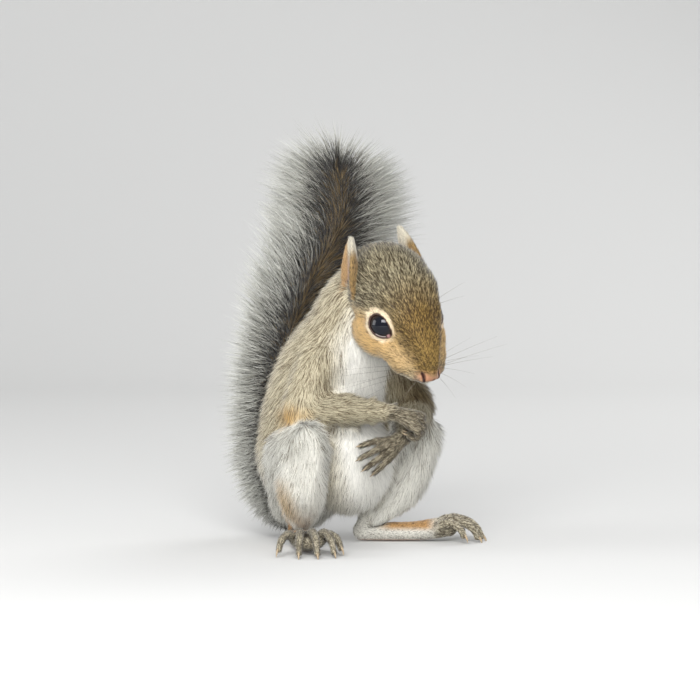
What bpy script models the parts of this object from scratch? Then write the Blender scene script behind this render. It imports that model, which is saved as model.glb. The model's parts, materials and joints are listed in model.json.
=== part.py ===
"""A young grey squirrel sitting upright with its hands at its chest, as a still, life-size model.

The animal faces -Y with its left side towards +X, and stands on the floor at Z = 0. Each named part of the
body is one closed solid that reaches out to the tips of the coat. Sizes are in millimetres and become metres
when a mesh is made.
"""

import math

import bmesh
import bpy
import numpy as np
from mathutils import Matrix, Vector

MM = 0.001
PART_GAP = 0.3  # clear space between two parts that meet
SIDES = (("left", 1.0), ("right", -1.0))

# The head's own frame: its origin lies midway between the eyes.
HEAD_ORIGIN = (3.0, -40.4, 97.8)
HEAD_TURN = 5.0  # degrees towards its right
HEAD_NOD = 29.0  # degrees down
HEAD_TILT = 12.0  # degrees, left side up

EYEBALL_RADIUS = 6.6
EYE_CENTRE = (9.9, -0.4, -1.9)
EYE_LOOK = (0.93, -0.30, 0.20)  # the way the left eye faces

COAT = {
    "grizzled": ((0.36, 0.30, 0.21), 0.8),
    "pale_grey": ((0.58, 0.57, 0.53), 0.8),
    "tail": ((0.62, 0.61, 0.58), 0.8),
    "feet": ((0.50, 0.44, 0.33), 0.75),
    "ear": ((0.62, 0.47, 0.32), 0.75),
    "eye": ((0.012, 0.012, 0.016), 0.06),
}


def smooth_path(rows, steps):
    """Rows of numbers read along a smooth curve through all of them, with this many steps between two rows."""
    rows = np.array(rows, float)
    ends = np.vstack([2 * rows[0] - rows[1], rows, 2 * rows[-1] - rows[-2]])
    found = []
    for before, start, end, after in zip(ends, ends[1:], ends[2:], ends[3:]):
        for t in np.arange(steps) / steps:
            bend = (2 * before - 5 * start + 4 * end - after) * t**2
            twist = (3 * start - before - 3 * end + after) * t**3
            found.append(start + 0.5 * ((end - before) * t + bend + twist))
    found.append(rows[-1])
    return np.array(found)


def object_from(name, points, faces):
    mesh = bpy.data.meshes.new(name)
    mesh.from_pydata([tuple(p) for p in np.array(points) * MM], [], faces)
    made = bpy.data.objects.new(name, mesh)
    bpy.context.scene.collection.objects.link(made)
    tidy = bmesh.new()
    tidy.from_mesh(mesh)
    bmesh.ops.recalc_face_normals(tidy, faces=tidy.faces)
    tidy.to_mesh(mesh)
    tidy.free()
    return made


def tube(stations, across, sides=20, steps=4, round_start=1.0, round_end=1.0):
    """A closed tube with oval sections. A station is x, y, z, half width, half depth and, where the tube is
    twisted, the turn of its width about Z in degrees. The width lies along the direction across. The ends
    are domes whose height is a share of the half depth."""
    rows = smooth_path(stations, steps)
    centres, halves = rows[:, :3], np.maximum(rows[:, 3:5], 0.2)
    turns = np.radians(rows[:, 5]) if rows.shape[1] > 5 else np.zeros(len(rows))
    runs = np.gradient(centres, axis=0)
    runs /= np.linalg.norm(runs, axis=1)[:, None]
    rings = []

    def ring(centre, run, half, shrink, turned):
        width_line = np.array(Matrix.Rotation(turned, 3, "Z") @ Vector(across))
        wide = width_line - np.dot(width_line, run) * run
        wide /= np.linalg.norm(wide)
        deep = np.cross(run, wide)
        turn = np.linspace(0, 2 * math.pi, sides, endpoint=False)[:, None]
        width, depth = half * shrink
        return centre + wide * width * np.cos(turn) + deep * depth * np.sin(turn)

    domes = (math.radians(66), math.radians(38))
    start, end = runs[0] * halves[0].min() * round_start, runs[-1] * halves[-1].min() * round_end
    for lean in domes:
        back = centres[0] - start * math.sin(lean)
        rings.append(ring(back, runs[0], halves[0], math.cos(lean), turns[0]))
    for centre, run, half, turned in zip(centres, runs, halves, turns):
        rings.append(ring(centre, run, half, 1.0, turned))
    for lean in reversed(domes):
        ahead = centres[-1] + end * math.sin(lean)
        rings.append(ring(ahead, runs[-1], halves[-1], math.cos(lean), turns[-1]))
    points = np.vstack([*rings, centres[0] - start, centres[-1] + end])
    count = len(rings)
    faces = []
    for i in range(count - 1):
        for j in range(sides):
            k = (j + 1) % sides
            faces.append((i * sides + j, i * sides + k, (i + 1) * sides + k, (i + 1) * sides + j))
    first, last = count * sides, count * sides + 1
    for j in range(sides):
        k = (j + 1) % sides
        faces.append((first, k, j))
        faces.append((last, (count - 1) * sides + j, (count - 1) * sides + k))
    return object_from("tube", points, faces)


def ball(centre, radii, tilt=0.0):
    """An oval ball. Tilt turns it about X, in degrees."""
    bpy.ops.mesh.primitive_uv_sphere_add(segments=28, ring_count=18, radius=1.0)
    made = bpy.context.object
    size = Matrix.Diagonal((*[r * MM for r in radii], 1.0))
    place = Matrix.Translation(Vector(centre) * MM)
    made.data.transform(place @ Matrix.Rotation(math.radians(tilt), 4, "X") @ size)
    return made


def finished(obj):
    """The object's mesh with its modifiers applied."""
    graph = bpy.context.evaluated_depsgraph_get()
    mesh = bpy.data.meshes.new_from_object(obj.evaluated_get(graph))
    obj.modifiers.clear()
    obj.data = mesh
    return obj


def joined(pieces):
    whole = bmesh.new()
    for piece in pieces:
        whole.from_mesh(piece.data)
    mesh = bpy.data.meshes.new("joined")
    whole.to_mesh(mesh)
    whole.free()
    for piece in pieces:
        bpy.data.objects.remove(piece)
    made = bpy.data.objects.new("joined", mesh)
    bpy.context.scene.collection.objects.link(made)
    return made


def melted(name, pieces, voxel, smoothing, triangles):
    """The pieces flowed together into one smooth closed body of about this many triangles."""
    body = joined(pieces)
    body.name = name
    remesh = body.modifiers.new("one body", "REMESH")
    remesh.mode = "VOXEL"
    remesh.voxel_size = voxel * MM
    smooth = body.modifiers.new("soft joins", "SMOOTH")
    smooth.factor = 0.5
    smooth.iterations = smoothing
    finished(body)
    body.modifiers.new("facets", "TRIANGULATE")
    lighter = body.modifiers.new("lighter", "DECIMATE")
    faces = sum(len(p.vertices) - 2 for p in body.data.polygons)
    lighter.ratio = min(1.0, triangles / faces)
    return finished(body)


def swollen(obj):
    """A copy of the object, larger all round by the gap, to cut its place out of its neighbours."""
    copy = bpy.data.objects.new(obj.name + " space", obj.data.copy())
    bpy.context.scene.collection.objects.link(copy)
    normals = np.array([v.normal[:] for v in copy.data.vertices])
    for vertex, normal in zip(copy.data.vertices, normals):
        vertex.co += Vector(normal) * PART_GAP * MM
    return copy


def carve(obj, cutter):
    """Takes the cutter's space out of the object. Both are closed, which the quick manifold solver needs."""
    cut = obj.modifiers.new("carve", "BOOLEAN")
    cut.operation = "DIFFERENCE"
    cut.solver = "MANIFOLD"
    cut.object = cutter
    finished(obj)


def sliced(obj, point, normal):
    """Cuts away what lies beyond the plane, on the side its normal faces, and closes the cut with a flat."""
    mesh = bmesh.new()
    mesh.from_mesh(obj.data)
    whole = mesh.verts[:] + mesh.edges[:] + mesh.faces[:]
    place = Vector(point) * MM
    bmesh.ops.bisect_plane(mesh, geom=whole, plane_co=place, plane_no=normal, clear_outer=True)
    rim = [edge for edge in mesh.edges if edge.is_boundary]
    bmesh.ops.holes_fill(mesh, edges=rim)
    bmesh.ops.recalc_face_normals(mesh, faces=mesh.faces)
    bmesh.ops.triangulate(mesh, faces=[face for face in mesh.faces if len(face.verts) > 4])
    mesh.to_mesh(obj.data)
    mesh.free()
    return obj


def parted(whole, cuts, names):
    """The body in lengths, with a gap between them. A cut is a point and the way up to the next length."""
    lengths = []
    for i, name in enumerate(names):
        piece = bpy.data.objects.new(name, whole.data.copy())
        bpy.context.scene.collection.objects.link(piece)
        if i < len(cuts):
            point, up = Vector(cuts[i][0]), Vector(cuts[i][1]).normalized()
            sliced(piece, point - up * PART_GAP / 2, up)
        if i > 0:
            point, up = Vector(cuts[i - 1][0]), Vector(cuts[i - 1][1]).normalized()
            sliced(piece, point + up * PART_GAP / 2, -up)
        lengths.append(piece)
    bpy.data.objects.remove(whole)
    return lengths


def keep_largest(obj):
    """Drops the crumbs that a cut can leave beside the main piece."""
    mesh = bmesh.new()
    mesh.from_mesh(obj.data)
    mesh.verts.ensure_lookup_table()
    seen, groups = set(), []
    for start in mesh.verts:
        if start.index in seen:
            continue
        group, waiting = [], [start]
        seen.add(start.index)
        while waiting:
            vertex = waiting.pop()
            group.append(vertex)
            for edge in vertex.link_edges:
                other = edge.other_vert(vertex)
                if other.index not in seen:
                    seen.add(other.index)
                    waiting.append(other)
        groups.append(group)
    groups.sort(key=len, reverse=True)
    for group in groups[1:]:
        bmesh.ops.delete(mesh, geom=group, context="VERTS")
    mesh.to_mesh(obj.data)
    mesh.free()


def head_matrix():
    """From the head's own frame to the model's."""
    turn = Matrix.Rotation(-math.radians(HEAD_TURN), 4, "Z")
    nod = Matrix.Rotation(math.radians(HEAD_NOD), 4, "X")
    tilt = Matrix.Rotation(-math.radians(HEAD_TILT), 4, "Y")
    return Matrix.Translation(Vector(HEAD_ORIGIN) * MM) @ turn @ nod @ tilt


def mirrored(rows, side):
    return [(row[0] * side, *row[1:]) for row in rows]


# --- trunk and neck -------------------------------------------------------------------------------------

TRUNK = [  # x, y, z, half width, half depth, from the rump up to the shoulders
    (0.0, 22.0, 19.0, 19.0, 15.0),
    (0.0, 17.0, 30.0, 26.0, 23.0),
    (0.0, 11.0, 44.0, 28.0, 26.0),
    (0.0, 7.0, 59.0, 27.0, 26.0),
    (0.0, 1.0, 74.0, 25.0, 23.5),
    (0.0, -6.0, 87.0, 20.5, 20.0),
]
NECK = [
    (0.0, -5.0, 88.0, 18.0, 18.5),
    (1.0, -11.0, 98.5, 17.2, 18.0),
    (2.8, -19.0, 107.0, 16.2, 16.5),
]
BELLY = ((0.0, -6.0, 36.0), (20.0, 21.0, 24.0))
SHOULDER = ((12.0, -8.0, 80.0), (11.0, 13.0, 13.0))
NECK_CUT = ((0.0, -6.0, 96.0), (0.06, -0.45, 0.89))  # a point and the way up


def trunk_and_neck():
    """One body from rump to nape, parted by a thin cut above the shoulders."""
    pieces = [tube(TRUNK, (1, 0, 0), sides=28), tube(NECK, (1, 0, 0), sides=24), ball(*BELLY, tilt=-8)]
    for _, side in SIDES:
        pieces.append(ball((side * SHOULDER[0][0], *SHOULDER[0][1:]), SHOULDER[1]))
    whole = melted("body", pieces, 1.6, 14, 700)
    return parted(whole, [NECK_CUT], ["trunk", "neck"])


# --- head -----------------------------------------------------------------------------------------------

HEAD = [  # x, y, z, half width, half height, from the back of the skull to the nose
    (0.0, 27.0, 5.5, 11.0, 11.5),
    (0.0, 23.0, 5.0, 14.8, 15.2),
    (0.0, 15.0, 3.8, 17.8, 18.2),
    (0.0, 5.0, 0.0, 17.2, 17.0),
    (0.0, -4.0, -4.0, 14.6, 14.4),
    (0.0, -12.0, -7.8, 10.8, 11.2),
    (0.0, -18.5, -11.0, 7.8, 8.2),
    (0.0, -22.5, -12.6, 5.7, 6.0),
]
CHEEK = ((8.6, 5.0, -8.5), (8.2, 12.5, 9.5))
BROW = ((9.0, 0.0, 4.0), (5.8, 8.5, 7.2))
CHIN = ((0.0, -5.5, -16.0), (8.0, 12.5, 5.4))
SOCKET = (4.4, 8.2, 7.6)


def head():
    """Built in the head's own frame: x to the side, -y forward, z up."""
    pieces = [tube(HEAD, (1, 0, 0), sides=28), ball(*CHIN, tilt=22)]
    for _, side in SIDES:
        for centre, radii in (CHEEK, BROW):
            pieces.append(ball((side * centre[0], *centre[1:]), radii))
    made = melted("head", pieces, 1.1, 8, 760)
    for _, side in SIDES:
        look = Vector((EYE_LOOK[0] * side, *EYE_LOOK[1:]))
        middle = Vector((EYE_CENTRE[0] * side, *EYE_CENTRE[1:])) + look * (EYEBALL_RADIUS + 2.0)
        hollow = ball((0, 0, 0), SOCKET)
        aim = look.to_track_quat("X", "Z").to_matrix().to_4x4()
        hollow.data.transform(Matrix.Translation(middle * MM) @ aim)
        carve(made, hollow)
        bpy.data.objects.remove(hollow)
    made.data.transform(head_matrix())
    return made


def eye(name, side):
    centre = (EYE_CENTRE[0] * side, EYE_CENTRE[1], EYE_CENTRE[2])
    bpy.ops.mesh.primitive_uv_sphere_add(segments=12, ring_count=7, radius=EYEBALL_RADIUS * MM)
    made = bpy.context.object
    made.name = name
    made.data.transform(head_matrix() @ Matrix.Translation(Vector(centre) * MM))
    return made


# --- ears -----------------------------------------------------------------------------------------------

EAR_ROOT = (12.8, 19.5, 3.0)
EAR_LENGTH = 25.0
EAR_HALF_WIDTHS = (5.0, 6.7, 6.6, 5.2, 1.4)  # from the root to the tip
EAR_CUP = 4.5
EAR_THICKNESS = 1.8
EAR_SPREAD = -2.0  # degrees outwards
EAR_BACK = 15.0  # degrees backwards


def ear(name, side):
    """A cupped leaf whose hollow faces outwards."""
    rows = smooth_path([(w, 0.0) for w in EAR_HALF_WIDTHS], 1)
    columns = 5
    points = []
    for i, (width, _) in enumerate(rows):
        up = i / (len(rows) - 1)
        for j in range(columns):
            across = -1 + 2 * j / (columns - 1)
            out = EAR_CUP * (1 - 0.6 * up) * across * across * width / max(EAR_HALF_WIDTHS)
            points.append((side * out, across * width + 2.5 * up * up, EAR_LENGTH * up))
    faces = []
    for i in range(len(rows) - 1):
        for j in range(columns - 1):
            a = i * columns + j
            faces.append((a, a + 1, a + columns + 1, a + columns))
    made = object_from(name, points, faces)
    thick = made.modifiers.new("thickness", "SOLIDIFY")
    thick.thickness = EAR_THICKNESS * MM
    thick.offset = 0.0
    finished(made)
    place = Matrix.Translation(Vector((EAR_ROOT[0] * side, *EAR_ROOT[1:])) * MM)
    lean = Matrix.Rotation(math.radians(EAR_SPREAD * side), 4, "Y")
    sweep = Matrix.Rotation(math.radians(-EAR_BACK), 4, "X")
    made.data.transform(head_matrix() @ place @ sweep @ lean)
    return made


# --- hind legs ------------------------------------------------------------------------------------------

KNEE = (32.0, -19.0, 48.0)
HEELS = {"left": (15.0, -2.0, 0.0), "right": (-20.0, 2.0, 0.0)}
THIGH = [
    (14.0, 10.0, 31.0, 13.0, 14.5),
    (20.0, 2.0, 37.0, 14.5, 15.5),
    (28.0, -10.0, 44.0, 12.0, 13.0),
    (31.0, -17.0, 47.0, 9.5, 10.5),
]


def thigh(name, side):
    return melted(name, [tube(mirrored(THIGH, side), (1, 0, 0.4 * side))], 1.5, 5, 220)


def shank(name, side, heel):
    rows = [
        (KNEE[0] * side * 0.98, KNEE[1] + 1.0, KNEE[2] - 6, 8.6, 8.6),
        (KNEE[0] * side * 0.88 + heel[0] * 0.12, -14.0, 36.0, 10.4, 11.0),
        (KNEE[0] * side * 0.6 + heel[0] * 0.4, -9.0, 23.0, 9.8, 12.0),
        (heel[0] * 1.05, heel[1] - 2.0, 11.0, 6.2, 8.5),
    ]
    return melted(name, [tube(rows, (1, 0, 0))], 1.3, 5, 180)


# --- digits ---------------------------------------------------------------------------------------------


def digit(root, ahead, back, length, rise, curl, radii, claw):
    """A finger or toe with its claw. It leaves the root raised by rise degrees from the direction ahead, and
    bends by curl degrees in all, away from the back of the hand or foot."""
    ahead, back = Vector(ahead).normalized(), Vector(back).normalized()
    steps = 6
    places = [Vector(root)]
    for i in range(steps):
        lean = math.radians(rise - curl * i / (steps - 1))
        places.append(places[-1] + (ahead * math.cos(lean) + back * math.sin(lean)) * length / steps)
    thick, thin = radii
    rows = []
    for i in (0, 2, 4, 6):
        radius = thick + (thin - thick) * i / 6
        rows.append((*places[i], radius, radius))
    across = ahead.cross(back)
    lean = math.radians(rise - curl - 15)
    point = places[-1] + (ahead * math.cos(lean) + back * math.sin(lean)) * claw
    start = places[-1] + back * thin * 0.3
    horn = [(*start, thin * 0.5, thin * 0.6), (*point, 0.35, 0.4)]
    return [tube(rows, across, sides=12, steps=2), tube(horn, across, sides=8, steps=2)]


# --- feet -----------------------------------------------------------------------------------------------

FOOT_TURN = {"left": 50.0, "right": 31.0}  # degrees outwards from straight ahead
SOLE = [  # x, y, z, half width, half height, from the heel forward
    (0.0, 2.5, 4.6, 4.6, 4.8),
    (0.0, -8.0, 4.2, 5.2, 4.4),
    (0.0, -20.0, 4.4, 5.8, 4.4),
    (0.0, -30.0, 6.0, 7.2, 4.8),
]
ANKLE = [(0.0, 1.5, 5.0, 4.6, 4.8), (0.0, -1.5, 12.0, 5.2, 6.0)]
TOE_ROOT = (-29.0, 6.0)  # y and z
TOES = [  # place across the foot, length, spread in degrees, from the inner toe to the outer
    (-6.0, 15.0, -28.0),
    (-4.2, 21.0, -13.0),
    (-0.6, 23.0, -1.0),
    (3.0, 22.0, 11.0),
    (5.6, 17.0, 27.0),
]
TOE_RISE = 36.0
TOE_CURL = 96.0
TOE_RADII = (2.5, 1.8)
TOE_CLAW = 3.6


def foot(name, side, heel, turn):
    """A long sole, and five arched toes that come down on their tips."""
    pieces = [tube(SOLE, (1, 0, 0), sides=18), tube(ANKLE, (1, 0, 0), sides=16)]
    for place, length, spread in TOES:
        lean = math.radians(spread)
        ahead = (math.sin(lean), -math.cos(lean), 0)
        root = (place, *TOE_ROOT)
        pieces += digit(root, ahead, (0, 0, 1), length, TOE_RISE, TOE_CURL, TOE_RADII, TOE_CLAW)
    made = melted(name, pieces, 0.75, 2, 600)
    made.data.transform(
        Matrix.Translation(Vector(heel) * MM)
        @ Matrix.Rotation(math.radians(turn) * side, 4, "Z")
        @ Matrix.Scale(side, 4, Vector((1, 0, 0)))
    )
    if side < 0:
        made.data.flip_normals()
    return sliced(made, (0, 0, 0), (0, 0, -1))


# --- arms and hands -------------------------------------------------------------------------------------

ARMS = {  # shoulder, elbow, wrist
    "left": ((15.0, -10.0, 80.0), (29.0, -18.0, 58.0), (8.0, -33.0, 46.5)),
    "right": ((-15.0, -8.0, 80.0), (-27.0, -7.0, 59.0), (0.0, -34.5, 57.0)),
}
HANDS = {  # the way the hand points, the way its back faces, rise and curl of the fingers in degrees
    "left": ((-0.90, 0.02, -0.43), (-0.30, -0.90, 0.30), 8.0, 48.0),
    "right": ((0.70, -0.62, -0.35), (-0.25, -0.72, 0.65), 5.0, 185.0),
}
FINGERS = [  # place across the hand, length, spread in degrees, from the inner finger to the outer
    (3.6, 12.0, 10.0),
    (1.3, 14.0, 3.0),
    (-1.3, 13.5, -6.0),
    (-3.6, 10.5, -20.0),
]
PALM = 9.0
FINGER_RADII = (1.9, 1.3)
FINGER_CLAW = 2.6


def upper_arm(name, shoulder, elbow):
    rows = [(*shoulder, 10.0, 10.5), (*elbow, 8.0, 8.5)]
    return melted(name, [tube(rows, (1, 0, 0))], 1.4, 4, 130)


def forearm(name, elbow, wrist):
    start = [0.86 * e + 0.14 * w for e, w in zip(elbow, wrist)]
    middle = [0.45 * e + 0.55 * w for e, w in zip(elbow, wrist)]
    rows = [(*start, 7.4, 7.8), (*middle, 7.4, 7.8), (*wrist, 5.4, 5.6)]
    return melted(name, [tube(rows, (0, 0, 1))], 1.2, 3, 150)


def hand(name, side, wrist, points, back, rise, curl):
    """A short palm with four fingers, curled as the animal holds them."""
    ahead = Vector(points).normalized()
    back = Vector(back)
    back = (back - ahead * back.dot(ahead)).normalized()
    inner = back.cross(ahead) * side
    wrist = Vector(wrist)
    palm = wrist + ahead * PALM
    rows = [(*(wrist - ahead * 3), 4.4, 4.0), (*(wrist + ahead * 3), 4.4, 3.4), (*palm, 5.4, 3.2)]
    pieces = [tube(rows, inner, sides=16, round_start=0.6, round_end=0.8)]
    for place, length, spread in FINGERS:
        lean = math.radians(spread)
        out = ahead * math.cos(lean) + inner * math.sin(lean)
        root = palm + inner * place
        pieces += digit(root, out, back, length, rise, curl, FINGER_RADII, FINGER_CLAW)
    return melted(name, pieces, 0.6, 2, 310)


# --- tail -----------------------------------------------------------------------------------------------

TAIL = [  # x, y, z, half width, half depth, twist in degrees
    (0.0, 18.0, 17.0, 8.0, 8.0, 0.0),
    (0.0, 28.0, 10.4, 13.5, 11.5, 0.0),
    (1.0, 39.5, 16.5, 19.5, 12.5, 0.0),
    (2.0, 46.0, 30.0, 23.0, 13.0, 0.0),
    (3.5, 48.0, 46.0, 24.5, 13.0, -4.0),
    (4.0, 46.0, 63.0, 25.0, 13.0, -9.0),
    (3.0, 39.0, 82.0, 25.5, 12.0, -14.0),
    (3.0, 28.0, 102.0, 27.0, 13.0, -20.0),
    (6.0, 18.0, 119.0, 29.5, 14.0, -26.0),
    (9.0, 11.0, 134.0, 31.0, 14.5, -31.0),
    (8.0, 9.3, 147.0, 31.0, 13.5, -34.0),
    (6.5, 9.0, 158.0, 29.0, 11.5, -35.0),
    (5.0, 9.0, 167.0, 21.5, 8.5, -35.0),
]


TAIL_CUTS = (((0, 44, 34), (0, 0.12, 1)), ((6, 18, 118), (0.2, -0.5, 0.84)))  # a point and the way up


def tail():
    """The tail in three lengths, with a small flat where its root meets the floor."""
    whole = melted("tail", [tube(TAIL, (1, 0, 0), sides=32)], 1.8, 4, 960)
    sliced(whole, (0, 0, 0), (0, 0, -1))
    return parted(whole, TAIL_CUTS, ["tail_base", "tail_middle", "tail_tip"])


# --- the whole animal -----------------------------------------------------------------------------------


COATS = {  # the coat that each part wears, by the start of the part's name
    "trunk": "grizzled",
    "neck": "grizzled",
    "head": "grizzled",
    "upper_arm": "grizzled",
    "forearm": "grizzled",
    "thigh": "pale_grey",
    "shank": "pale_grey",
    "tail": "tail",
    "foot": "feet",
    "hand": "feet",
    "ear": "ear",
    "eye": "eye",
}


def painted(obj, coat):
    colour, roughness = COAT[coat]
    material = bpy.data.materials.new(coat)
    material.use_nodes = True
    shader = material.node_tree.nodes["Principled BSDF"]
    shader.inputs["Base Color"].default_value = (*colour, 1.0)
    shader.inputs["Roughness"].default_value = roughness
    obj.data.materials.clear()
    obj.data.materials.append(material)
    return obj


CLEARED = {  # each part, and the neighbours whose space is taken out of it; {} stands for left or right
    "head": ["eye_{}"],
    "ear": ["head"],
    "upper_arm": ["thigh_{}", "shank_{}"],
    "shank": ["thigh_{}"],
    "foot": ["shank_{}"],
    "forearm": ["upper_arm_{}", "thigh_{}", "shank_{}", "hand_right"],
    "hand": ["forearm_{}"],
    "trunk": ["thigh_{}", "shank_{}", "upper_arm_{}", "forearm_{}", "head"],
    "neck": ["head", "upper_arm_{}", "ear_{}"],
    "tail_base": ["trunk"],
    "tail_middle": ["trunk"],
}


def build():
    for obj in list(bpy.data.objects):
        bpy.data.objects.remove(obj)
    made = {}
    for word, side in SIDES:
        shoulder, elbow, wrist = ARMS[word]
        made["eye_" + word] = eye("eye_" + word, side)
        made["ear_" + word] = ear("ear_" + word, side)
        made["thigh_" + word] = thigh("thigh_" + word, side)
        made["shank_" + word] = shank("shank_" + word, side, HEELS[word])
        made["foot_" + word] = foot("foot_" + word, side, HEELS[word], FOOT_TURN[word])
        made["upper_arm_" + word] = upper_arm("upper_arm_" + word, shoulder, elbow)
        made["forearm_" + word] = forearm("forearm_" + word, elbow, wrist)
        made["hand_" + word] = hand("hand_" + word, side, wrist, *HANDS[word])
    made["head"] = head()
    for piece in trunk_and_neck() + tail():
        made[piece.name] = piece

    spaces = {name: swollen(piece) for name, piece in made.items()}
    for name, neighbours in CLEARED.items():
        if name + "_left" in made:
            for word, _ in SIDES:
                for neighbour in neighbours:
                    carve(made[name + "_" + word], spaces[neighbour.format(word)])
                keep_largest(made[name + "_" + word])
        else:
            both = [neighbour.format(word) for neighbour in neighbours for word, _ in SIDES]
            for neighbour in dict.fromkeys(both):
                carve(made[name], spaces[neighbour])
            keep_largest(made[name])
    for space in spaces.values():
        bpy.data.objects.remove(space)

    for name, coat in COATS.items():
        for part in made:
            if part.startswith(name):
                painted(made[part], coat)
    points = np.array([v.co for obj in made.values() for v in obj.data.vertices])
    low, high = points.min(axis=0), points.max(axis=0)
    middle = Matrix.Translation((-(low[0] + high[0]) / 2, -(low[1] + high[1]) / 2, -low[2]))
    for obj in made.values():
        obj.data.transform(middle)
        obj.data.shade_smooth()


build()
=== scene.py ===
"""A young grey squirrel sitting upright with its hands at its chest, for a museum-like shelf display.

The animal faces -Y with its left side towards +X. Sizes are in millimetres; a mesh is in metres.
"""

import json
import math

import bmesh
import bpy
import numpy as np
from mathutils import Matrix, Vector
from mathutils.bvhtree import BVHTree

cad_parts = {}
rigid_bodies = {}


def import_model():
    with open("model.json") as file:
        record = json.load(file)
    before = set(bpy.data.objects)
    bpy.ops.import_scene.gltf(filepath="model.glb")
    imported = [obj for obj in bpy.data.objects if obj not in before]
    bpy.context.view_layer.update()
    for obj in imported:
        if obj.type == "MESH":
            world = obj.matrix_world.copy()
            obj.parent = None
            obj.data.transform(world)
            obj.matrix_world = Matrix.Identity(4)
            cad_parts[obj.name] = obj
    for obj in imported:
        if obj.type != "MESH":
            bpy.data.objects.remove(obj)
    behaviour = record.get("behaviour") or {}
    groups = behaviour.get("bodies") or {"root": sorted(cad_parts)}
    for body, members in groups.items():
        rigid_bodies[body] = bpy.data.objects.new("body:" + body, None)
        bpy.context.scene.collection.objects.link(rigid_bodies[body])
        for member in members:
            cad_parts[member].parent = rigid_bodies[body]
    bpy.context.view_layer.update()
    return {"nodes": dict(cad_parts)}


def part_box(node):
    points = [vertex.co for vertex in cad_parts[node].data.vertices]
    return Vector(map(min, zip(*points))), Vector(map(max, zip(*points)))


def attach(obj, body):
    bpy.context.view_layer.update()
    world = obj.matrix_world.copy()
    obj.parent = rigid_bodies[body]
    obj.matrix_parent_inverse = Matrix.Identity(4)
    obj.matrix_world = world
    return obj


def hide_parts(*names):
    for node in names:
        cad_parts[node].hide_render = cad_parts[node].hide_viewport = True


for spare in list(bpy.data.objects):  # what a new file starts with
    bpy.data.objects.remove(spare)
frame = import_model()

# --- where the animal sits ------------------------------------------------------------------------------
# The flesh is set out from two places: the animal's own zero, on the floor below its rump, and the head's
# own zero, between the eyes. Both are found from the two eyeballs of the solid model.

MM = 0.001
SIDES = {"left": 1.0, "right": -1.0}
HEAD_TURN, HEAD_NOD, HEAD_TILT = -5.0, 29.0, -12.0  # degrees about Z, X and Y
SOLID_EYES = (0.0, -0.4, -1.9)  # the middle between the solid eyeballs, from the head's zero
HEAD_ABOVE = (3.0, -40.4, 97.8)  # the head's zero, from the animal's


def middle(node):
    """The middle of a solid part's box."""
    low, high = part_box(node)
    return (low + high) / 2


head_turned = (
    Matrix.Rotation(math.radians(HEAD_TURN), 3, "Z")
    @ Matrix.Rotation(math.radians(HEAD_NOD), 3, "X")
    @ Matrix.Rotation(math.radians(HEAD_TILT), 3, "Y")
)
head_zero = (middle("eye_left") + middle("eye_right")) / 2 - head_turned @ Vector(SOLID_EYES) * MM
animal_place = Matrix.Translation(head_zero - Vector(HEAD_ABOVE) * MM) @ Matrix.Scale(MM, 4)
head_place = Matrix.Translation(head_zero) @ head_turned.to_4x4() @ Matrix.Scale(MM, 4)

# --- flesh of the body ----------------------------------------------------------------------------------
# Trunk, neck, thighs, shanks and arms are one run of flesh under the coat. It is worked down from the
# solid parts, which reach to the tips of the hairs, by the depth of the coat that each place wears.

COAT_DEPTH = {
    "trunk": 2.9,
    "neck": 2.6,
    "head": 4.5,
    "thigh": 2.9,
    "shank": 2.0,
    "upper_arm": 2.3,
    "forearm": 1.7,
}
BODY_VOXEL = 1.2
WELD = 0.01  # corners closer than this are one


def set_out(name, data):
    """An object in the scene, from a mesh, a lamp or a camera."""
    made = bpy.data.objects.new(name, data)
    bpy.context.scene.collection.objects.link(made)
    return made


def as_mesh(name, points, faces, place):
    """A closed object from points in millimetres, set down by place."""
    mesh = bpy.data.meshes.new(name)
    mesh.from_pydata([place @ Vector(p) for p in points], [], faces)
    tidy = bmesh.new()
    tidy.from_mesh(mesh)
    bmesh.ops.recalc_face_normals(tidy, faces=tidy.faces)
    tidy.to_mesh(mesh)
    tidy.free()
    return set_out(name, mesh)


def finished(obj):
    """The object with its modifiers applied."""
    graph = bpy.context.evaluated_depsgraph_get()
    mesh = bpy.data.meshes.new_from_object(obj.evaluated_get(graph))
    obj.modifiers.clear()
    obj.data = mesh
    return obj


def joined(name, pieces):
    """One object made of the pieces, which are used up."""
    whole = bmesh.new()
    for piece in pieces:
        whole.from_mesh(piece.data)
    mesh = bpy.data.meshes.new(name)
    whole.to_mesh(mesh)
    whole.free()
    for piece in pieces:
        bpy.data.objects.remove(piece)
    return set_out(name, mesh)


def soften(obj, times):
    """Smooths the object's skin this many times."""
    smooth = obj.modifiers.new("soft", "SMOOTH")
    smooth.factor = 0.5
    smooth.iterations = times


def melted(obj, voxel, smoothing):
    """The object's pieces flowed together into one closed skin."""
    remesh = obj.modifiers.new("one skin", "REMESH")
    remesh.mode = "VOXEL"
    remesh.voxel_size = voxel * MM
    soften(obj, smoothing)
    return finished(obj)


def vertex_rows(mesh, what="co"):
    """The points of a mesh, or their normals, as rows."""
    rows = np.zeros(len(mesh.vertices) * 3)
    mesh.vertices.foreach_get(what, rows)
    return rows.reshape(-1, 3)


def put_vertices(mesh, rows):
    mesh.vertices.foreach_set("co", np.ascontiguousarray(rows).ravel())
    mesh.update()


def edge_rows(mesh):
    """The two points of each edge, as rows."""
    rows = np.zeros(len(mesh.edges) * 2, int)
    mesh.edges.foreach_get("vertices", rows)
    return rows.reshape(-1, 2)


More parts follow.
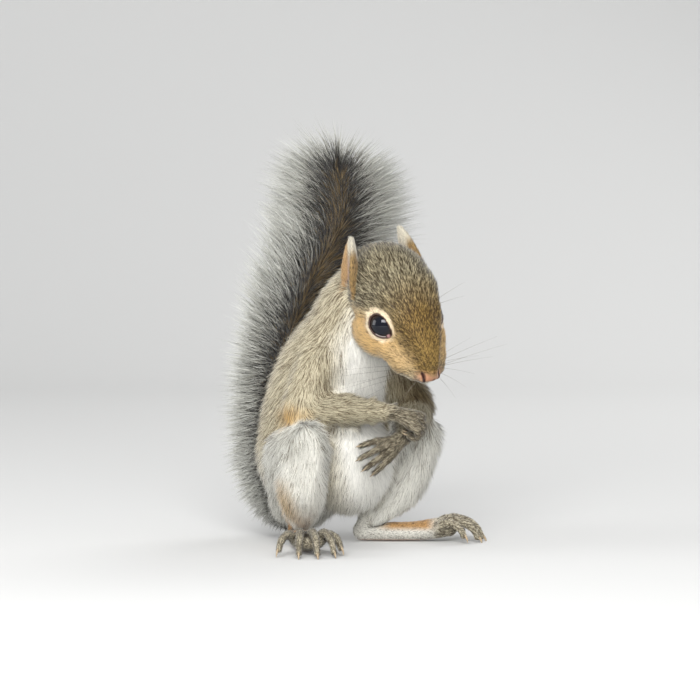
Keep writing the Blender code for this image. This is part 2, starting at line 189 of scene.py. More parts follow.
def spread(values, edges, rounds):
    """Values of the vertices, averaged with their neighbours this many times."""
    values = values.reshape(len(values), -1).astype(float)
    a, b = edges[:, 0], edges[:, 1]
    count = np.bincount(edges.ravel(), minlength=len(values))[:, None] + 1.0
    for _ in range(rounds):
        total = values.copy()
        for k in range(values.shape[1]):
            gained = np.bincount(a, values[b, k], len(values)) + np.bincount(b, values[a, k], len(values))
            total[:, k] += gained
        values = total / count
    return values


def lies_on(points, shapes):
    """For each point, which shape it lies on and a corner of the nearest face there."""
    corners, faces, owners = [], [], []
    for owner, (shape_points, shape_faces) in enumerate(shapes):
        start = len(corners)
        corners += shape_points
        faces += [tuple(start + i for i in face) for face in shape_faces]
        owners += [(owner, face[0]) for face in shape_faces]
    tree = BVHTree.FromPolygons(corners, faces)
    return np.array([owners[tree.find_nearest(Vector(p))[2]] for p in points])


def shape_of(obj):
    """The points and faces of an object."""
    return [v.co[:] for v in obj.data.vertices], [p.vertices[:] for p in obj.data.polygons]


def kind_of(name):
    """A node's name without its side."""
    return name.removesuffix("_left").removesuffix("_right")


flesh_nodes = ["trunk", "neck", "head"]
for limb in ("thigh", "shank", "upper_arm", "forearm"):
    flesh_nodes += [limb + "_left", limb + "_right"]
copies = []
for node in flesh_nodes:
    welded = bmesh.new()
    welded.from_mesh(frame["nodes"][node].data)
    bmesh.ops.remove_doubles(welded, verts=welded.verts, dist=WELD * MM)
    mesh = bpy.data.meshes.new(node + " flesh")
    welded.to_mesh(mesh)
    welded.free()
    copies.append(bpy.data.objects.new(node + " flesh", mesh))
solid_shapes = [shape_of(copy) for copy in copies]
body_flesh = melted(joined("body flesh", copies), BODY_VOXEL, 12)
rows = vertex_rows(body_flesh.data)
body_kinds = lies_on(rows, solid_shapes)[:, 0]
depth_of = np.array([COAT_DEPTH[kind_of(node)] for node in flesh_nodes])
depth = spread(depth_of[body_kinds], edge_rows(body_flesh.data), 6)
put_vertices(body_flesh.data, rows - vertex_rows(body_flesh.data, "normal") * depth * MM)
soften(body_flesh, 4)
finished(body_flesh)

# --- flesh of the head ----------------------------------------------------------------------------------
# Skull, brows, cheeks and jaw under short fur, with the whisker pads, the soft nose and the lids that
# bulge over the eyeballs. All of it is built in the head's own frame: x to the left, -y forward, z up.

SKULL = [  # x, y, z, half width, half height, from the back of the skull to the nose
    (0.0, 25.4, 5.4, 10.0, 10.4),
    (0.0, 22.0, 5.6, 13.8, 14.3),
    (0.0, 15.0, 4.2, 16.5, 17.1),
    (0.0, 5.0, 0.0, 16.0, 15.7),
    (0.0, -4.0, -4.0, 13.6, 13.3),
    (0.0, -12.0, -8.0, 10.6, 10.2),
    (0.0, -18.0, -11.8, 8.0, 7.4),
    (0.0, -21.2, -13.7, 5.8, 5.2),
]
EYEBALL = 6.4
EYE_AT = (10.3, 0.0, -2.9)  # the left eyeball's centre
EYE_LOOK = (0.70, -0.55, 0.45)
LID_THICKNESS = 0.8
OPENING = [  # how far from the look the lid's edge lies, in degrees, at each turn round it
    (-180, 59), (-150, 52), (-120, 42), (-90, 41), (-60, 44), (-35, 50), (-16, 58),
    (0, 51), (25, 35), (60, 28), (90, 30), (120, 36), (150, 50), (180, 59),
]  # the turn is 0 at the front, and 90 above
HEAD_BALLS = [  # centre, half sizes and tilt about x, for the left; the right is its mirror image
    ((7.4, 7.0, 8.4), (7.2, 11.5, 7.2), 0),  # side of the crown
    ((10.0, 4.6, -9.8), (8.2, 12.6, 8.6), 0),  # cheek
    ((7.4, -10.5, -13.2), (5.4, 8.0, 5.0), 25),  # front of the cheek
    ((9.2, 0.6, 3.6), (5.8, 9.0, 6.2), -14),  # brow
    ((9.0, -5.8, 2.6), (4.8, 5.8, 4.6), 20),  # front of the brow
    ((0.0, -4.0, -15.8), (8.4, 11.5, 4.6), 20),  # jaw
    ((9.0, -4.6, -9.0), (6.2, 9.4, 6.4), 24),  # cheekbone below the eye
    ((4.8, -16.8, -14.2), (4.7, 6.0, 5.1), 25),  # whisker pad
    ((0.0, -17.0, -19.0), (3.4, 5.0, 2.3), 28),  # chin
]
NOSE_BALLS = [
    ((0.0, -23.3, -15.6), (3.1, 2.4, 3.0), 20),  # tip
    ((2.9, -21.5, -16.4), (2.5, 2.9, 2.8), 0),  # wing of the nostril
]


def smooth_path(rows, steps):
    """Rows of numbers read along a smooth curve through them, with this many steps between two rows."""
    rows = np.array(rows, float)
    ends = np.vstack([2 * rows[0] - rows[1], rows, 2 * rows[-1] - rows[-2]])
    found = []
    for before, start, end, after in zip(ends, ends[1:], ends[2:], ends[3:]):
        for t in np.arange(steps) / steps:
            bend = (2 * before - 5 * start + 4 * end - after) * t**2
            twist = (3 * start - before - 3 * end + after) * t**3
            found.append(start + 0.5 * ((end - before) * t + bend + twist))
    found.append(rows[-1])
    return np.array(found)


def tube(name, stations, place, across=(1, 0, 0), sides=24, steps=5, ends=(1.0, 1.0)):
    """A closed tube through stations of x, y, z, half width and half depth, with domed ends."""
    rows = smooth_path(stations, steps)
    centres, halves = rows[:, :3], np.maximum(rows[:, 3:5], 0.02)
    runs = np.gradient(centres, axis=0)
    runs /= np.linalg.norm(runs, axis=1)[:, None]
    wide = np.array(across) - runs * (runs @ np.array(across))[:, None]
    wide /= np.linalg.norm(wide, axis=1)[:, None]
    deep = np.cross(runs, wide)
    turn = np.linspace(0, 2 * math.pi, sides, endpoint=False)[:, None]

    def ring(i, shrink, ahead):
        half = halves[i] * shrink
        spots = centres[i] + runs[i] * ahead + wide[i] * half[0] * np.cos(turn)
        return spots + deep[i] * half[1] * np.sin(turn)

    first, last = halves[0].min() * ends[0], halves[-1].min() * ends[1]
    domes = [math.radians(angle) for angle in (72, 50, 26)]
    rings = [ring(0, math.cos(a), -first * math.sin(a)) for a in domes]
    rings += [ring(i, 1.0, 0.0) for i in range(len(rows))]
    rings += [ring(-1, math.cos(a), last * math.sin(a)) for a in reversed(domes)]
    points = np.vstack([*rings, centres[0] - runs[0] * first, centres[-1] + runs[-1] * last])
    faces, poles = [], len(rings) * sides
    for j in range(sides):
        k = (j + 1) % sides
        for i in range(len(rings) - 1):
            faces.append((i * sides + j, i * sides + k, (i + 1) * sides + k, (i + 1) * sides + j))
        faces.append((poles, k, j))
        faces.append((poles + 1, poles - sides + j, poles - sides + k))
    return as_mesh(name, points, faces, place)


def ball(name, centre, halves, tilt, place, segments=32, rings=20):
    """An oval ball, turned about x by tilt degrees."""
    globe = bmesh.new()
    bmesh.ops.create_uvsphere(globe, u_segments=segments, v_segments=rings, radius=1.0)
    set_down = place @ Matrix.Translation(centre) @ Matrix.Rotation(math.radians(tilt), 4, "X")
    globe.transform(set_down @ Matrix.Diagonal((*halves, 1.0)))
    mesh = bpy.data.meshes.new(name)
    globe.to_mesh(mesh)
    globe.free()
    return set_out(name, mesh)


def on_side(point, side):
    """A point given for the left, or its mirror image for the right."""
    return (point[0] * side, *point[1:])


def both_sides(balls, place):
    """The balls, with a mirror image of each one that stands off the middle."""
    made = []
    for centre, halves, tilt in balls:
        for side in SIDES.values() if centre[0] else [1.0]:
            made.append(ball("form", on_side(centre, side), halves, tilt, place))
    return made


def eye_axes(side):
    """The look of an eye, and the ways forward and upwards from it, square to each other."""
    look = Vector(on_side(EYE_LOOK, side)).normalized()
    front = Vector((0, -1, 0))
    front = (front - look * front.dot(look)).normalized()
    up = look.cross(front)
    return np.array(look), np.array(front), np.array(up if up.z > 0 else -up)


def rim_angle(turn):
    """How far from the look the lid's edge lies; turn is 0 at the front corner and runs over the top."""
    edge = smooth_path(OPENING, 6)
    turn = np.degrees(np.arctan2(np.sin(turn), np.cos(turn)))
    return np.radians(np.interp(turn, edge[:, 0], edge[:, 1]))


def way_to_rim(side, turn, inside=0.0):
    """The way from the eyeball's centre to the lid's edge at a turn, or to some degrees inside it."""
    look, front, up = eye_axes(side)
    lean = rim_angle(turn) - math.radians(inside)
    return look * np.cos(lean) + (front * np.cos(turn) + up * np.sin(turn)) * np.sin(lean)


def in_frame(points, place):
    """Points of the model, in the millimetres of that place."""
    back = np.array(place.inverted())
    return points @ back[:3, :3].T + back[:3, 3]


def in_model(points, place):
    """Points in the millimetres of a place, in the model."""
    return points @ np.array(place)[:3, :3].T + np.array(place)[:3, 3]


def round_the_eye(points, side):
    """How far points of the head lie from that eyeball's centre and past the lid's edge, and their way."""
    look, front, up = eye_axes(side)
    out = points - np.array(on_side(EYE_AT, side))
    far = np.linalg.norm(out, axis=1)
    lean = np.arccos(np.clip(out @ look / far, -1, 1))
    return far, lean - rim_angle(np.arctan2(out @ up, out @ front)), out / far[:, None]


lid_radius = EYEBALL + LID_THICKNESS
skull = tube("skull", SKULL, head_place, sides=40, ends=(1.0, 0.4))
head_flesh = joined("head flesh", [skull] + both_sides(HEAD_BALLS, head_place))
melted(head_flesh, 0.8, 10)
lids = [ball("lid", on_side(EYE_AT, side), [lid_radius] * 3, 0, head_place) for side in SIDES.values()]
head_flesh = joined("head flesh", [head_flesh] + lids + both_sides(NOSE_BALLS, head_place))
melted(head_flesh, 0.5, 9)
for piece in (body_flesh, head_flesh):  # the flesh thins to the lids towards the eye opening
    points = in_frame(vertex_rows(piece.data), head_place)
    for side in SIDES.values():
        far, past, way = round_the_eye(points, side)
        clear = np.clip(past - 0.10, 0, 3)
        sunk = np.minimum(far, lid_radius + 8 * clear + 60 * clear**2 + 400 * clear**4)
        points = np.array(on_side(EYE_AT, side)) + way * sunk[:, None]
    put_vertices(piece.data, in_model(points, head_place))

# --- ears -----------------------------------------------------------------------------------------------
# Thin cupped leaves of gristle and skin, standing on the back of the skull with the hollow facing out.

EAR_ROOT = (12.4, 16.0, 1.0)
EAR_HEIGHT = 24.6
EAR_HALF_WIDTHS = [4.2, 6.0, 7.0, 7.0, 6.0, 4.2, 1.2]  # from the root to the tip
EAR_CUPS = {"left": (3.4, 4.0), "right": (7.0, 6.2)}  # how far the front and the hind half curl outwards
EAR_THICKNESS = 1.35
EAR_SPREAD, EAR_BACK = -1.0, 28.5  # degrees outwards and backwards
EAR_TURN = {"left": 0.0, "right": 13.0}  # each ear is turned on its own; degrees of the hollow to the back


def ear_flesh(word, side):
    """One ear as a cupped leaf with thickness, and its own place."""
    widths = smooth_path([(w,) for w in EAR_HALF_WIDTHS], 4)[:, 0]
    columns, points, faces = 15, [], []
    for i, width in enumerate(widths):
        up = i / (len(widths) - 1)
        for j in range(columns):
            across = -1 + 2 * j / (columns - 1)
            cup = EAR_CUPS[word][across > 0] * (1 - 0.6 * up) * abs(across) ** 1.6 * width / max(widths)
            points.append((side * cup, across * width + 2.5 * up * up, EAR_HEIGHT * up))
    for i in range(len(widths) - 1):
        for j in range(columns - 1):
            a = i * columns + j
            faces.append((a, a + 1, a + columns + 1, a + columns))
    lean = Matrix.Rotation(math.radians(EAR_SPREAD * side), 4, "Y")
    sweep = Matrix.Rotation(math.radians(-EAR_BACK), 4, "X")
    turn = Matrix.Rotation(math.radians(EAR_TURN[word] * side), 4, "Z")
    place = head_place @ Matrix.Translation(on_side(EAR_ROOT, side)) @ sweep @ lean @ turn
    made = as_mesh("ear flesh", points, faces, place)
    thick = made.modifiers.new("thickness", "SOLIDIFY")
    thick.thickness = EAR_THICKNESS * MM
    thick.offset = 0.0
    return finished(made), place


ear_pieces, ear_places = {}, {}
for word, side in SIDES.items():
    ear_pieces[word], ear_places[word] = ear_flesh(word, side)

# --- feet and hands -------------------------------------------------------------------------------------
# Long soles with five arched toes, and short palms with four fingers, jointed with small knuckles and
# padded below the tips. The claws are made with them, from the same bones, and kept as a piece of horn.

SOLE = [  # x, y, z, half width, half height, from the heel to the ball of the foot
    (0.0, 2.5, 4.4, 3.9, 4.0),
    (0.0, -8.0, 4.0, 4.5, 3.8),
    (0.0, -20.0, 4.2, 5.1, 3.8),
    (0.0, -30.0, 5.6, 6.6, 4.0),
    (0.0, -34.0, 5.4, 6.0, 3.2),
]
ANKLE = [(0.0, 1.5, 5.0, 3.8, 4.0), (0.0, -1.5, 13.0, 4.2, 5.0), (0.0, -4.0, 20.0, 5.0, 6.0)]
TOE_ROOT = (-29.0, 6.0)  # y and z
TOES = [  # place across the foot, length, spread in degrees, from the inner toe to the outer
    (-6.0, 15.0, -28.0),
    (-4.2, 21.0, -13.0),
    (-0.6, 23.0, -1.0),
    (3.0, 22.0, 11.0),
    (5.8, 16.5, 36.0),
]
TOE_BEND = (36.0, 96.0)  # degrees up at the root, and down along the toe
TOE_RADII, TOE_CLAW = (2.0, 1.25), 3.9
HEELS = {"left": (15.0, -2.0, 0.0), "right": (-20.0, 2.0, 0.0)}
FOOT_TURN = {"left": 50.0, "right": 31.0}
FOREARMS = {  # elbow and wrist
    "left": ((29.0, -18.0, 58.0), (8.0, -33.0, 46.5)),
    "right": ((-27.0, -7.0, 59.0), (0.0, -34.5, 57.0)),
}
HANDS = {  # the way the hand points, the way its back faces, rise and curl of the fingers in degrees
    "left": ((-0.90, 0.02, -0.43), (-0.30, -0.90, 0.30), 8.0, 48.0),
    "right": ((0.70, -0.62, -0.35), (-0.25, -0.72, 0.65), 5.0, 185.0),
}
FINGERS = [  # place across the hand, length, spread in degrees, from the inner finger to the outer
    (3.6, 12.0, 10.0),
    (1.3, 14.0, 3.0),
    (-1.3, 13.5, -6.0),
    (-3.6, 10.5, -20.0),
]
FINGER_RADII, FINGER_CLAW = (1.35, 1.0), 2.9
PALM = 9.0
KNUCKLES = (1.0, 0.92, 1.06, 0.9, 1.04, 0.94, 0.8)  # how thick a toe or finger is along its length


def digit(root, ahead, back, length, bend, radii, claw, place):
    """A toe or finger with knuckles and a pad, and its claw."""
    ahead, back = Vector(ahead).normalized(), Vector(back).normalized()
    rise, curl = bend
    steps = len(KNUCKLES) - 1
    spots = [Vector(root)]
    for i in range(steps):
        lean = math.radians(rise - curl * i / (steps - 1))
        spots.append(spots[-1] + (ahead * math.cos(lean) + back * math.sin(lean)) * length / steps)
    stations = []
    for i, spot in enumerate(spots):
        radius = (radii[0] + (radii[1] - radii[0]) * i / steps) * KNUCKLES[i]
        stations.append((*spot, radius, radius))
    across = ahead.cross(back)
    toe = tube("toe", stations, place, across, sides=16, steps=3)
    lean = math.radians(rise - curl)
    under = spots[-1] - back * radii[1] * 0.35 - (ahead * math.cos(lean) + back * math.sin(lean)) * 0.6
    pad = ball("pad", under, [radii[1] * 1.02] * 3, 0, place, 16, 10)
    horn, spot = [], spots[-1] + back * radii[1] * 0.35
    for i in range(5):
        share = i / 4
        lean = math.radians(rise - curl + 22 - 62 * share)
        thick = radii[1] * (0.52 * (1 - share) ** 0.8 + 0.06)
        horn.append((*spot, thick * 0.8, thick))
        spot = spot + (ahead * math.cos(lean) + back * math.sin(lean)) * claw / 4
    return [toe, pad], tube("claw", horn, place, across, sides=10, steps=3)


foot_pieces, foot_places, hand_pieces, claws = {}, {}, {}, []
for word, side in SIDES.items():
    place = foot_places[word] = (
        animal_place
        @ Matrix.Translation(HEELS[word])
        @ Matrix.Rotation(math.radians(FOOT_TURN[word]) * side, 4, "Z")
        @ Matrix.Scale(side, 4, Vector((1, 0, 0)))
    )
    pieces = [tube("sole", SOLE, place, sides=24), tube("ankle", ANKLE, place, sides=20)]
    for across, length, spread_out in TOES:
        lean = math.radians(spread_out)
        root, ahead = (across, *TOE_ROOT), (math.sin(lean), -math.cos(lean), 0)
        flesh, claw = digit(root, ahead, (0, 0, 1), length, TOE_BEND, TOE_RADII, TOE_CLAW, place)
        pieces += flesh
        claws.append(claw)
    foot_pieces[word] = melted(joined("foot flesh", pieces), 0.45, 2)

    elbow, wrist = [Vector(p) for p in FOREARMS[word]]
    points, faces_way, rise, curl = HANDS[word]
    ahead = Vector(points).normalized()
    back = Vector(faces_way)
    back = (back - ahead * back.dot(ahead)).normalized()
    inner = back.cross(ahead) * side
    up_the_arm = wrist + (elbow - wrist).normalized() * 9
    palm = wrist + ahead * PALM
    stations = [
        (*up_the_arm, 5.6, 5.8),
        (*(wrist + (up_the_arm - wrist) * 0.45), 4.9, 5.0),
        (*wrist, 3.9, 3.6),
        (*(wrist + ahead * 4), 4.0, 2.8),
        (*palm, 4.8, 2.7),
    ]
    pieces = [tube("palm", stations, animal_place, inner, sides=20, ends=(0.6, 0.8))]
    for across, length, spread_out in FINGERS:
        lean = math.radians(spread_out)
        out = ahead * math.cos(lean) + inner * math.sin(lean)
        root = palm + inner * across
        bend = (rise, curl)
        flesh, claw = digit(root, out, back, length, bend, FINGER_RADII, FINGER_CLAW, animal_place)
        pieces += flesh
        claws.append(claw)
    hand_pieces[word] = melted(joined("hand flesh", pieces), 0.4, 2)

# --- core of the tail -----------------------------------------------------------------------------------
# Under its long hairs the tail is a thin tapering rod of bone and sinew. It leaves the rump along the
# floor, rises behind the back and ends near the top of the plume.

TAIL = [  # x, y, z, and half width and half depth of the whole plume, then its turn about Z in degrees
    (0.0, 18.0, 17.0, 8.0, 8.0, 0.0),
    (0.0, 28.0, 10.4, 13.5, 11.5, 0.0),
    (1.0, 39.5, 16.5, 19.5, 12.5, 0.0),
    (2.0, 46.0, 30.0, 23.0, 13.0, 0.0),
    (3.5, 48.0, 46.0, 24.5, 13.0, -4.0),
    (4.0, 46.0, 63.0, 25.0, 13.0, -9.0),
    (3.0, 39.0, 82.0, 25.5, 12.0, -14.0),
    (3.0, 28.0, 102.0, 27.0, 13.0, -20.0),
    (6.0, 18.0, 119.0, 29.5, 14.0, -26.0),
    (9.0, 11.0, 134.0, 31.0, 14.5, -31.0),
    (8.0, 9.3, 147.0, 31.0, 13.5, -34.0),
    (6.5, 9.0, 158.0, 29.0, 11.5, -35.0),
    (5.0, 9.0, 167.0, 21.5, 8.5, -35.0),
]
CORE_RADII = (4.8, 3.0)
CORE_SHORT = 26  # the rod ends this many steps of the path before the plume

tail_path = smooth_path(TAIL, 12)
core_rows = []
for i in range(0, len(tail_path) - CORE_SHORT, 3):
    radius = CORE_RADII[0] + (CORE_RADII[1] - CORE_RADII[0]) * min(1.0, i / len(tail_path) * 1.4)
    core_rows.append((*tail_path[i, :3], radius, radius))
core_flesh = tube("tail flesh", core_rows, animal_place, sides=16, steps=2)

# --- the one skin ---------------------------------------------------------------------------------------
# All the flesh flows into one closed skin, with no seam at the neck, the limbs or the tail. The eye
# openings, nostrils and mouth are cut after that, so that their edges stay crisp.

SKIN_VOXEL = 0.6
SKIN_TRIANGLES = 185000
sources = {"body": body_flesh, "head": head_flesh, "tail": core_flesh}
for word in SIDES:
    sources["ear_" + word] = ear_pieces[word]
    sources["foot_" + word] = foot_pieces[word]
    sources["hand_" + word] = hand_pieces[word]
source_names = list(sources)
source_shapes = [shape_of(piece) for piece in sources.values()]
skin = melted(joined("skin", list(sources.values())), SKIN_VOXEL, 1)

NOSTRIL = [  # the cuts' x, y, z and half sizes, for the left
    (3.6, -21.7, -14.6, 0.35, 0.5),
    (3.0, -22.2, -15.5, 0.5, 0.8),
    (2.9, -22.6, -16.5, 0.45, 0.8),
    (3.0, -22.8, -17.5, 0.3, 0.5),
]
PHILTRUM = [(0.0, -26.2, -16.4, 0.2, 0.5), (0.0, -25.0, -17.8, 0.22, 0.5), (0.0, -23.2, -19.2, 0.22, 0.5)]
MOUTH = [
    (5.8, -15.5, -19.8, 0.3, 0.4),
    (4.2, -19.5, -19.8, 0.4, 0.6),
    (2.2, -22.2, -19.4, 0.4, 0.7),
    (0.0, -23.4, -19.1, 0.4, 0.7),
]
SOCKET_GAP = 0.03  # between an eyeball and the flesh
OPENING_POINTS = 72
OPENING_DOME = (  # share of the way from the lid's edge to the look, and radius
    (0.0, lid_radius + 0.5),
    (0.35, 8.6),
    (0.7, 9.4),
)


def rim_ways(side, count):
    """The ways to the lid's edge, all round it."""
    return way_to_rim(side, np.linspace(0, 2 * math.pi, count, endpoint=False)[:, None])


def carve(obj, cutter):
    """Cuts the cutter's shape out of the object."""
    cut = obj.modifiers.new("carve", "BOOLEAN")
    cut.operation = "DIFFERENCE"
    cut.solver = "MANIFOLD"
    cut.object = cutter
    finished(obj)
    bpy.data.objects.remove(cutter)


def on_the_skin(rows, side=1.0):
    """Rows of x, y, z and half sizes, each moved to the nearest place on the skin."""
    tree = BVHTree.FromPolygons(*shape_of(skin))
    spots = [tree.find_nearest(head_place @ Vector(on_side(row[:3], side)))[0] for row in rows]
    return [(*(head_place.inverted() @ spot), *row[3:]) for spot, row in zip(spots, rows)]


mouth = on_the_skin(MOUTH + [(-row[0], *row[1:]) for row in reversed(MOUTH[:-1])])
philtrum = on_the_skin(PHILTRUM)
nostrils = [on_the_skin(NOSTRIL, side) for side in SIDES.values()]
for side in SIDES.values():
    centre = np.array(on_side(EYE_AT, side))
    ways, look = rim_ways(side, OPENING_POINTS), eye_axes(side)[0]
    rings = []
    for share, radius in OPENING_DOME:
        ring = ways * (1 - share) + look * share
        rings.append(centre + ring / np.linalg.norm(ring, axis=1)[:, None] * radius)
    points = np.vstack(rings + [centre, centre + look * OPENING_DOME[-1][1]])
    faces, pole, last = [], len(points) - 2, 2 * OPENING_POINTS
    for j in range(OPENING_POINTS):
        k = (j + 1) % OPENING_POINTS
        faces.append((pole, k, j))
        faces.append((pole + 1, last + j, last + k))
        for i in (0, OPENING_POINTS):
            faces.append((i + j, i + k, i + OPENING_POINTS + k, i + OPENING_POINTS + j))
    carve(skin, as_mesh("eye opening", points, faces, head_place))
    socket = ball("socket", on_side(EYE_AT, side), [EYEBALL + SOCKET_GAP] * 3, 0, head_place, 64, 40)
    carve(skin, socket)
for nostril in nostrils:
    carve(skin, tube("nostril", nostril, head_place, (0, 0, 1), sides=12, steps=4))
carve(skin, tube("mouth", mouth, head_place, (0, -1, 0), sides=12, steps=4))
carve(skin, tube("philtrum", philtrum, head_place, sides=12, steps=4))

places = vertex_rows(skin.data)
found = lies_on(places, source_shapes)
plain = np.isin(found[:, 0], [source_names.index("body"), source_names.index("tail")])
hidden_by_fur = skin.vertex_groups.new(name="hidden by fur")
hidden_by_fur.add([int(i) for i in np.nonzero(plain)[0]], 1.0, "REPLACE")
triangles = sum(len(p.vertices) - 2 for p in skin.data.polygons)
skin.modifiers.new("facets", "TRIANGULATE")
lighter = skin.modifiers.new("lighter", "DECIMATE")
lighter.ratio = SKIN_TRIANGLES / triangles
lighter.vertex_group = "hidden by fur"
finished(skin)
skin.vertex_groups.clear()
skin.data.polygons.foreach_set("use_smooth", [True] * len(skin.data.polygons))

# --- lie of the coat ------------------------------------------------------------------------------------
# Every place on the skin knows which part it belongs to, which way its hairs lie, how long they are and
# how far they lift. The hairs run from the nose backwards, down the body, and out along each limb.

PARTS = ["trunk", "neck", "head", "thigh", "shank", "upper_arm", "forearm", "ear", "foot", "hand", "tail"]
HAIRS = {  # length, width, lift in degrees, and how thickly they stand (1 is the thickest)
    "trunk": (7.4, 0.36, 18, 1.0),
    "neck": (5.6, 0.36, 16, 1.0),
    "head": (3.0, 0.27, 15, 1.0),
    "thigh": (8.4, 0.38, 18, 1.0),
    "shank": (6.2, 0.36, 17, 1.0),
    "upper_arm": (5.6, 0.36, 16, 1.0),
    "forearm": (4.8, 0.34, 16, 1.0),
    "ear": (1.9, 0.22, 14, 1.0),
    "foot": (2.9, 0.32, 17, 1.0),
    "hand": (2.0, 0.30, 15, 1.0),
    "tail": (24.0, 0.38, 0, 1.0),
}

places = vertex_rows(skin.data)
skin_edges = edge_rows(skin.data)
found = lies_on(places, source_shapes)
body_index = source_names.index("body")
labels, sides = [], []
for source, corner in found:
    name = flesh_nodes[body_kinds[corner]] if source == body_index else source_names[source]
    labels.append(PARTS.index(kind_of(name)))
    sides.append(1.0 if name.endswith("_left") else -1.0 if name.endswith("_right") else 0.0)
labels, sides = np.array(labels), np.array(sides)


def way_in_model(way, place):
    """A way given in the frame of a place, in the model, one unit long."""
    turned = np.array(way) @ (np.array(place)[:3, :3].T / MM)
    return turned / np.linalg.norm(turned, axis=-1, keepdims=True)


def part(name):
    """Where the skin belongs to that part."""
    return labels == PARTS.index(name)


# each place on the skin, in the animal's millimetres and in the head's
body_at = in_frame(places, animal_place)
head_at = in_frame(places, head_place)
past_wrist = np.full(len(body_at), -99.0)
for word, side in SIDES.items():  # the arm tapers to the wrist, and the hand's short hair starts there
    elbow, wrist = [np.array(p) for p in FOREARMS[word]]
    run = (wrist - elbow) / np.linalg.norm(wrist - elbow)
    along = (body_at - wrist) @ run
    of_arm = (part("forearm") | part("hand")) & (sides == side)
    off = body_at - wrist - along[:, None] * run
    body_at -= off * (np.interp(along, (-18, -5, 3, 8), (0, 0.26, 0.22, 0)) * of_arm)[:, None]
    labels[of_arm] = np.where(along > -1, PARTS.index("hand"), PARTS.index("forearm"))[of_arm]
    past_wrist[of_arm] = along[of_arm]
places = in_model(body_at, animal_place)
put_vertices(skin.data, places)
skin_normals = vertex_rows(skin.data, "normal")

# distance from the edge of the nearer eye opening, in millimetres; below zero inside it
rim_distance = np.full(len(body_at), 99.0)
from_eye = np.zeros_like(body_at)
for side in SIDES.values():
    far, past, way = round_the_eye(head_at, side)
    distance = np.where(far < 13, past * far, 99.0)
    distance = np.where(far < EYEBALL + 0.25, -1.0, distance)
    nearer = distance < rim_distance
    rim_distance = np.where(nearer, distance, rim_distance)
    from_eye[nearer] = way[nearer]

lie = np.zeros_like(body_at)
lie[:] = (0.0, 0.25, -1.0)
lie[part("thigh")] = (0.0, -0.35, -1.0)
head_lie = head_at - np.array((0.0, -33.0, -15.0))
head_lie /= np.linalg.norm(head_lie, axis=1)[:, None]
round_eye = np.clip(1 - rim_distance / 3.5, 0, 1)[:, None]
head_lie = way_in_model(head_lie + round_eye * from_eye * 1.6 + np.array((0, 0.25, 0)), head_place)
lie[part("head")] = head_lie[part("head")]
tail_centres = tail_path[:, :3]
tail_runs = np.gradient(tail_centres, axis=0)
tail_runs /= np.linalg.norm(tail_runs, axis=1)[:, None]
along_tail = np.zeros(len(body_at), int)  # the nearest step of the tail's path
for i in np.nonzero(part("tail"))[0]:
    along_tail[i] = np.argmin(((tail_centres - body_at[i]) ** 2).sum(1))
lie[part("tail")] = tail_runs[along_tail][part("tail")]
for word, side in SIDES.items():
    here = sides == side
    elbow, wrist = [np.array(p) for p in FOREARMS[word]]
    lie[here & part("upper_arm")] = (0.15 * side, 0.0, -1.0)
    lie[here & part("forearm")] = wrist - elbow
    lie[here & part("hand")] = HANDS[word][0]
    turn = math.radians(FOOT_TURN[word]) * side
    lie[here & part("foot")] = (math.sin(turn), -math.cos(turn), -0.1)
    lie[here & part("shank")] = np.array(HEELS[word]) - np.array((32.0 * side, -19.0, 48.0)) + (0, 0, -10)
    lie[here & part("ear")] = way_in_model((0, 0.25, 1), ear_places[word])


def flat(ways, rounds):
    """The ways smoothed over the skin and laid flat on it."""
    ways = ways / np.maximum(np.linalg.norm(ways, axis=1), 1e-6)[:, None]
    ways = spread(ways, skin_edges, rounds)
    ways = ways - skin_normals * (ways * skin_normals).sum(1)[:, None]
    return ways / np.maximum(np.linalg.norm(ways, axis=1), 1e-6)[:, None]


lie = flat(flat(lie, 8), 8)

hair_rows = np.array([HAIRS[name] for name in PARTS], float)
hair = spread(hair_rows[labels], skin_edges, 8)
hair[part("tail")] = HAIRS["tail"]
length, width, lift, thick = hair.T

# the tail's long hairs reach from the core to the outside of a flat plume, and fan out ahead at its tip
on_tail = part("tail")
at = along_tail[on_tail]
tail_turns = [math.radians(row[5]) for row in tail_path]
tail_wide = np.array([(math.cos(turn), math.sin(turn), 0) for turn in tail_turns])
tail_wide -= tail_runs * (tail_wide * tail_runs).sum(1)[:, None]
tail_wide /= np.linalg.norm(tail_wide, axis=1)[:, None]
tail_deep = np.cross(tail_runs, tail_wide)
out = skin_normals[on_tail]
sideways, frontways = (out * tail_wide[at]).sum(1) * 1.5, (out * tail_deep[at]).sum(1)
forwards = np.clip((out * tail_runs[at]).sum(1), 0, 1)
round_share = np.sqrt(1 - forwards**2) / np.maximum(np.hypot(sideways, frontways), 0.05)
across, deep = sideways * round_share, frontways * round_share
ahead = np.minimum(at + np.interp(at, (0, 40, 118), (-2, 3, 22)), len(tail_path) - 1).clip(0).astype(int)
near_tip = np.interp(at, (70, 118), (0, 1))
goal = tail_centres[ahead] + tail_runs[ahead] * (11 * forwards - 5 * across * near_tip)[:, None]
goal += tail_wide[ahead] * (across * tail_path[ahead, 3])[:, None]
goal += tail_deep[ahead] * (deep * tail_path[ahead, 4] * 0.85)[:, None]
goal[:, 2] = np.maximum(goal[:, 2], 3.5)
reach = goal - body_at[on_tail]
length[on_tail] = np.linalg.norm(reach, axis=1)
lie[on_tail] = reach / np.linalg.norm(reach, axis=1)[:, None]
rise = skin_normals.copy()
rise[on_tail] = tail_runs[at]
lift[on_tail] = 0
# how much of the bands' whole length a hair shows: the short ones end dark
reach_share = np.zeros(len(body_at))
reach_share[on_tail] = 0.46 + 0.54 * np.clip(np.hypot(across, forwards * 0.8), 0, 1) ** 1.5

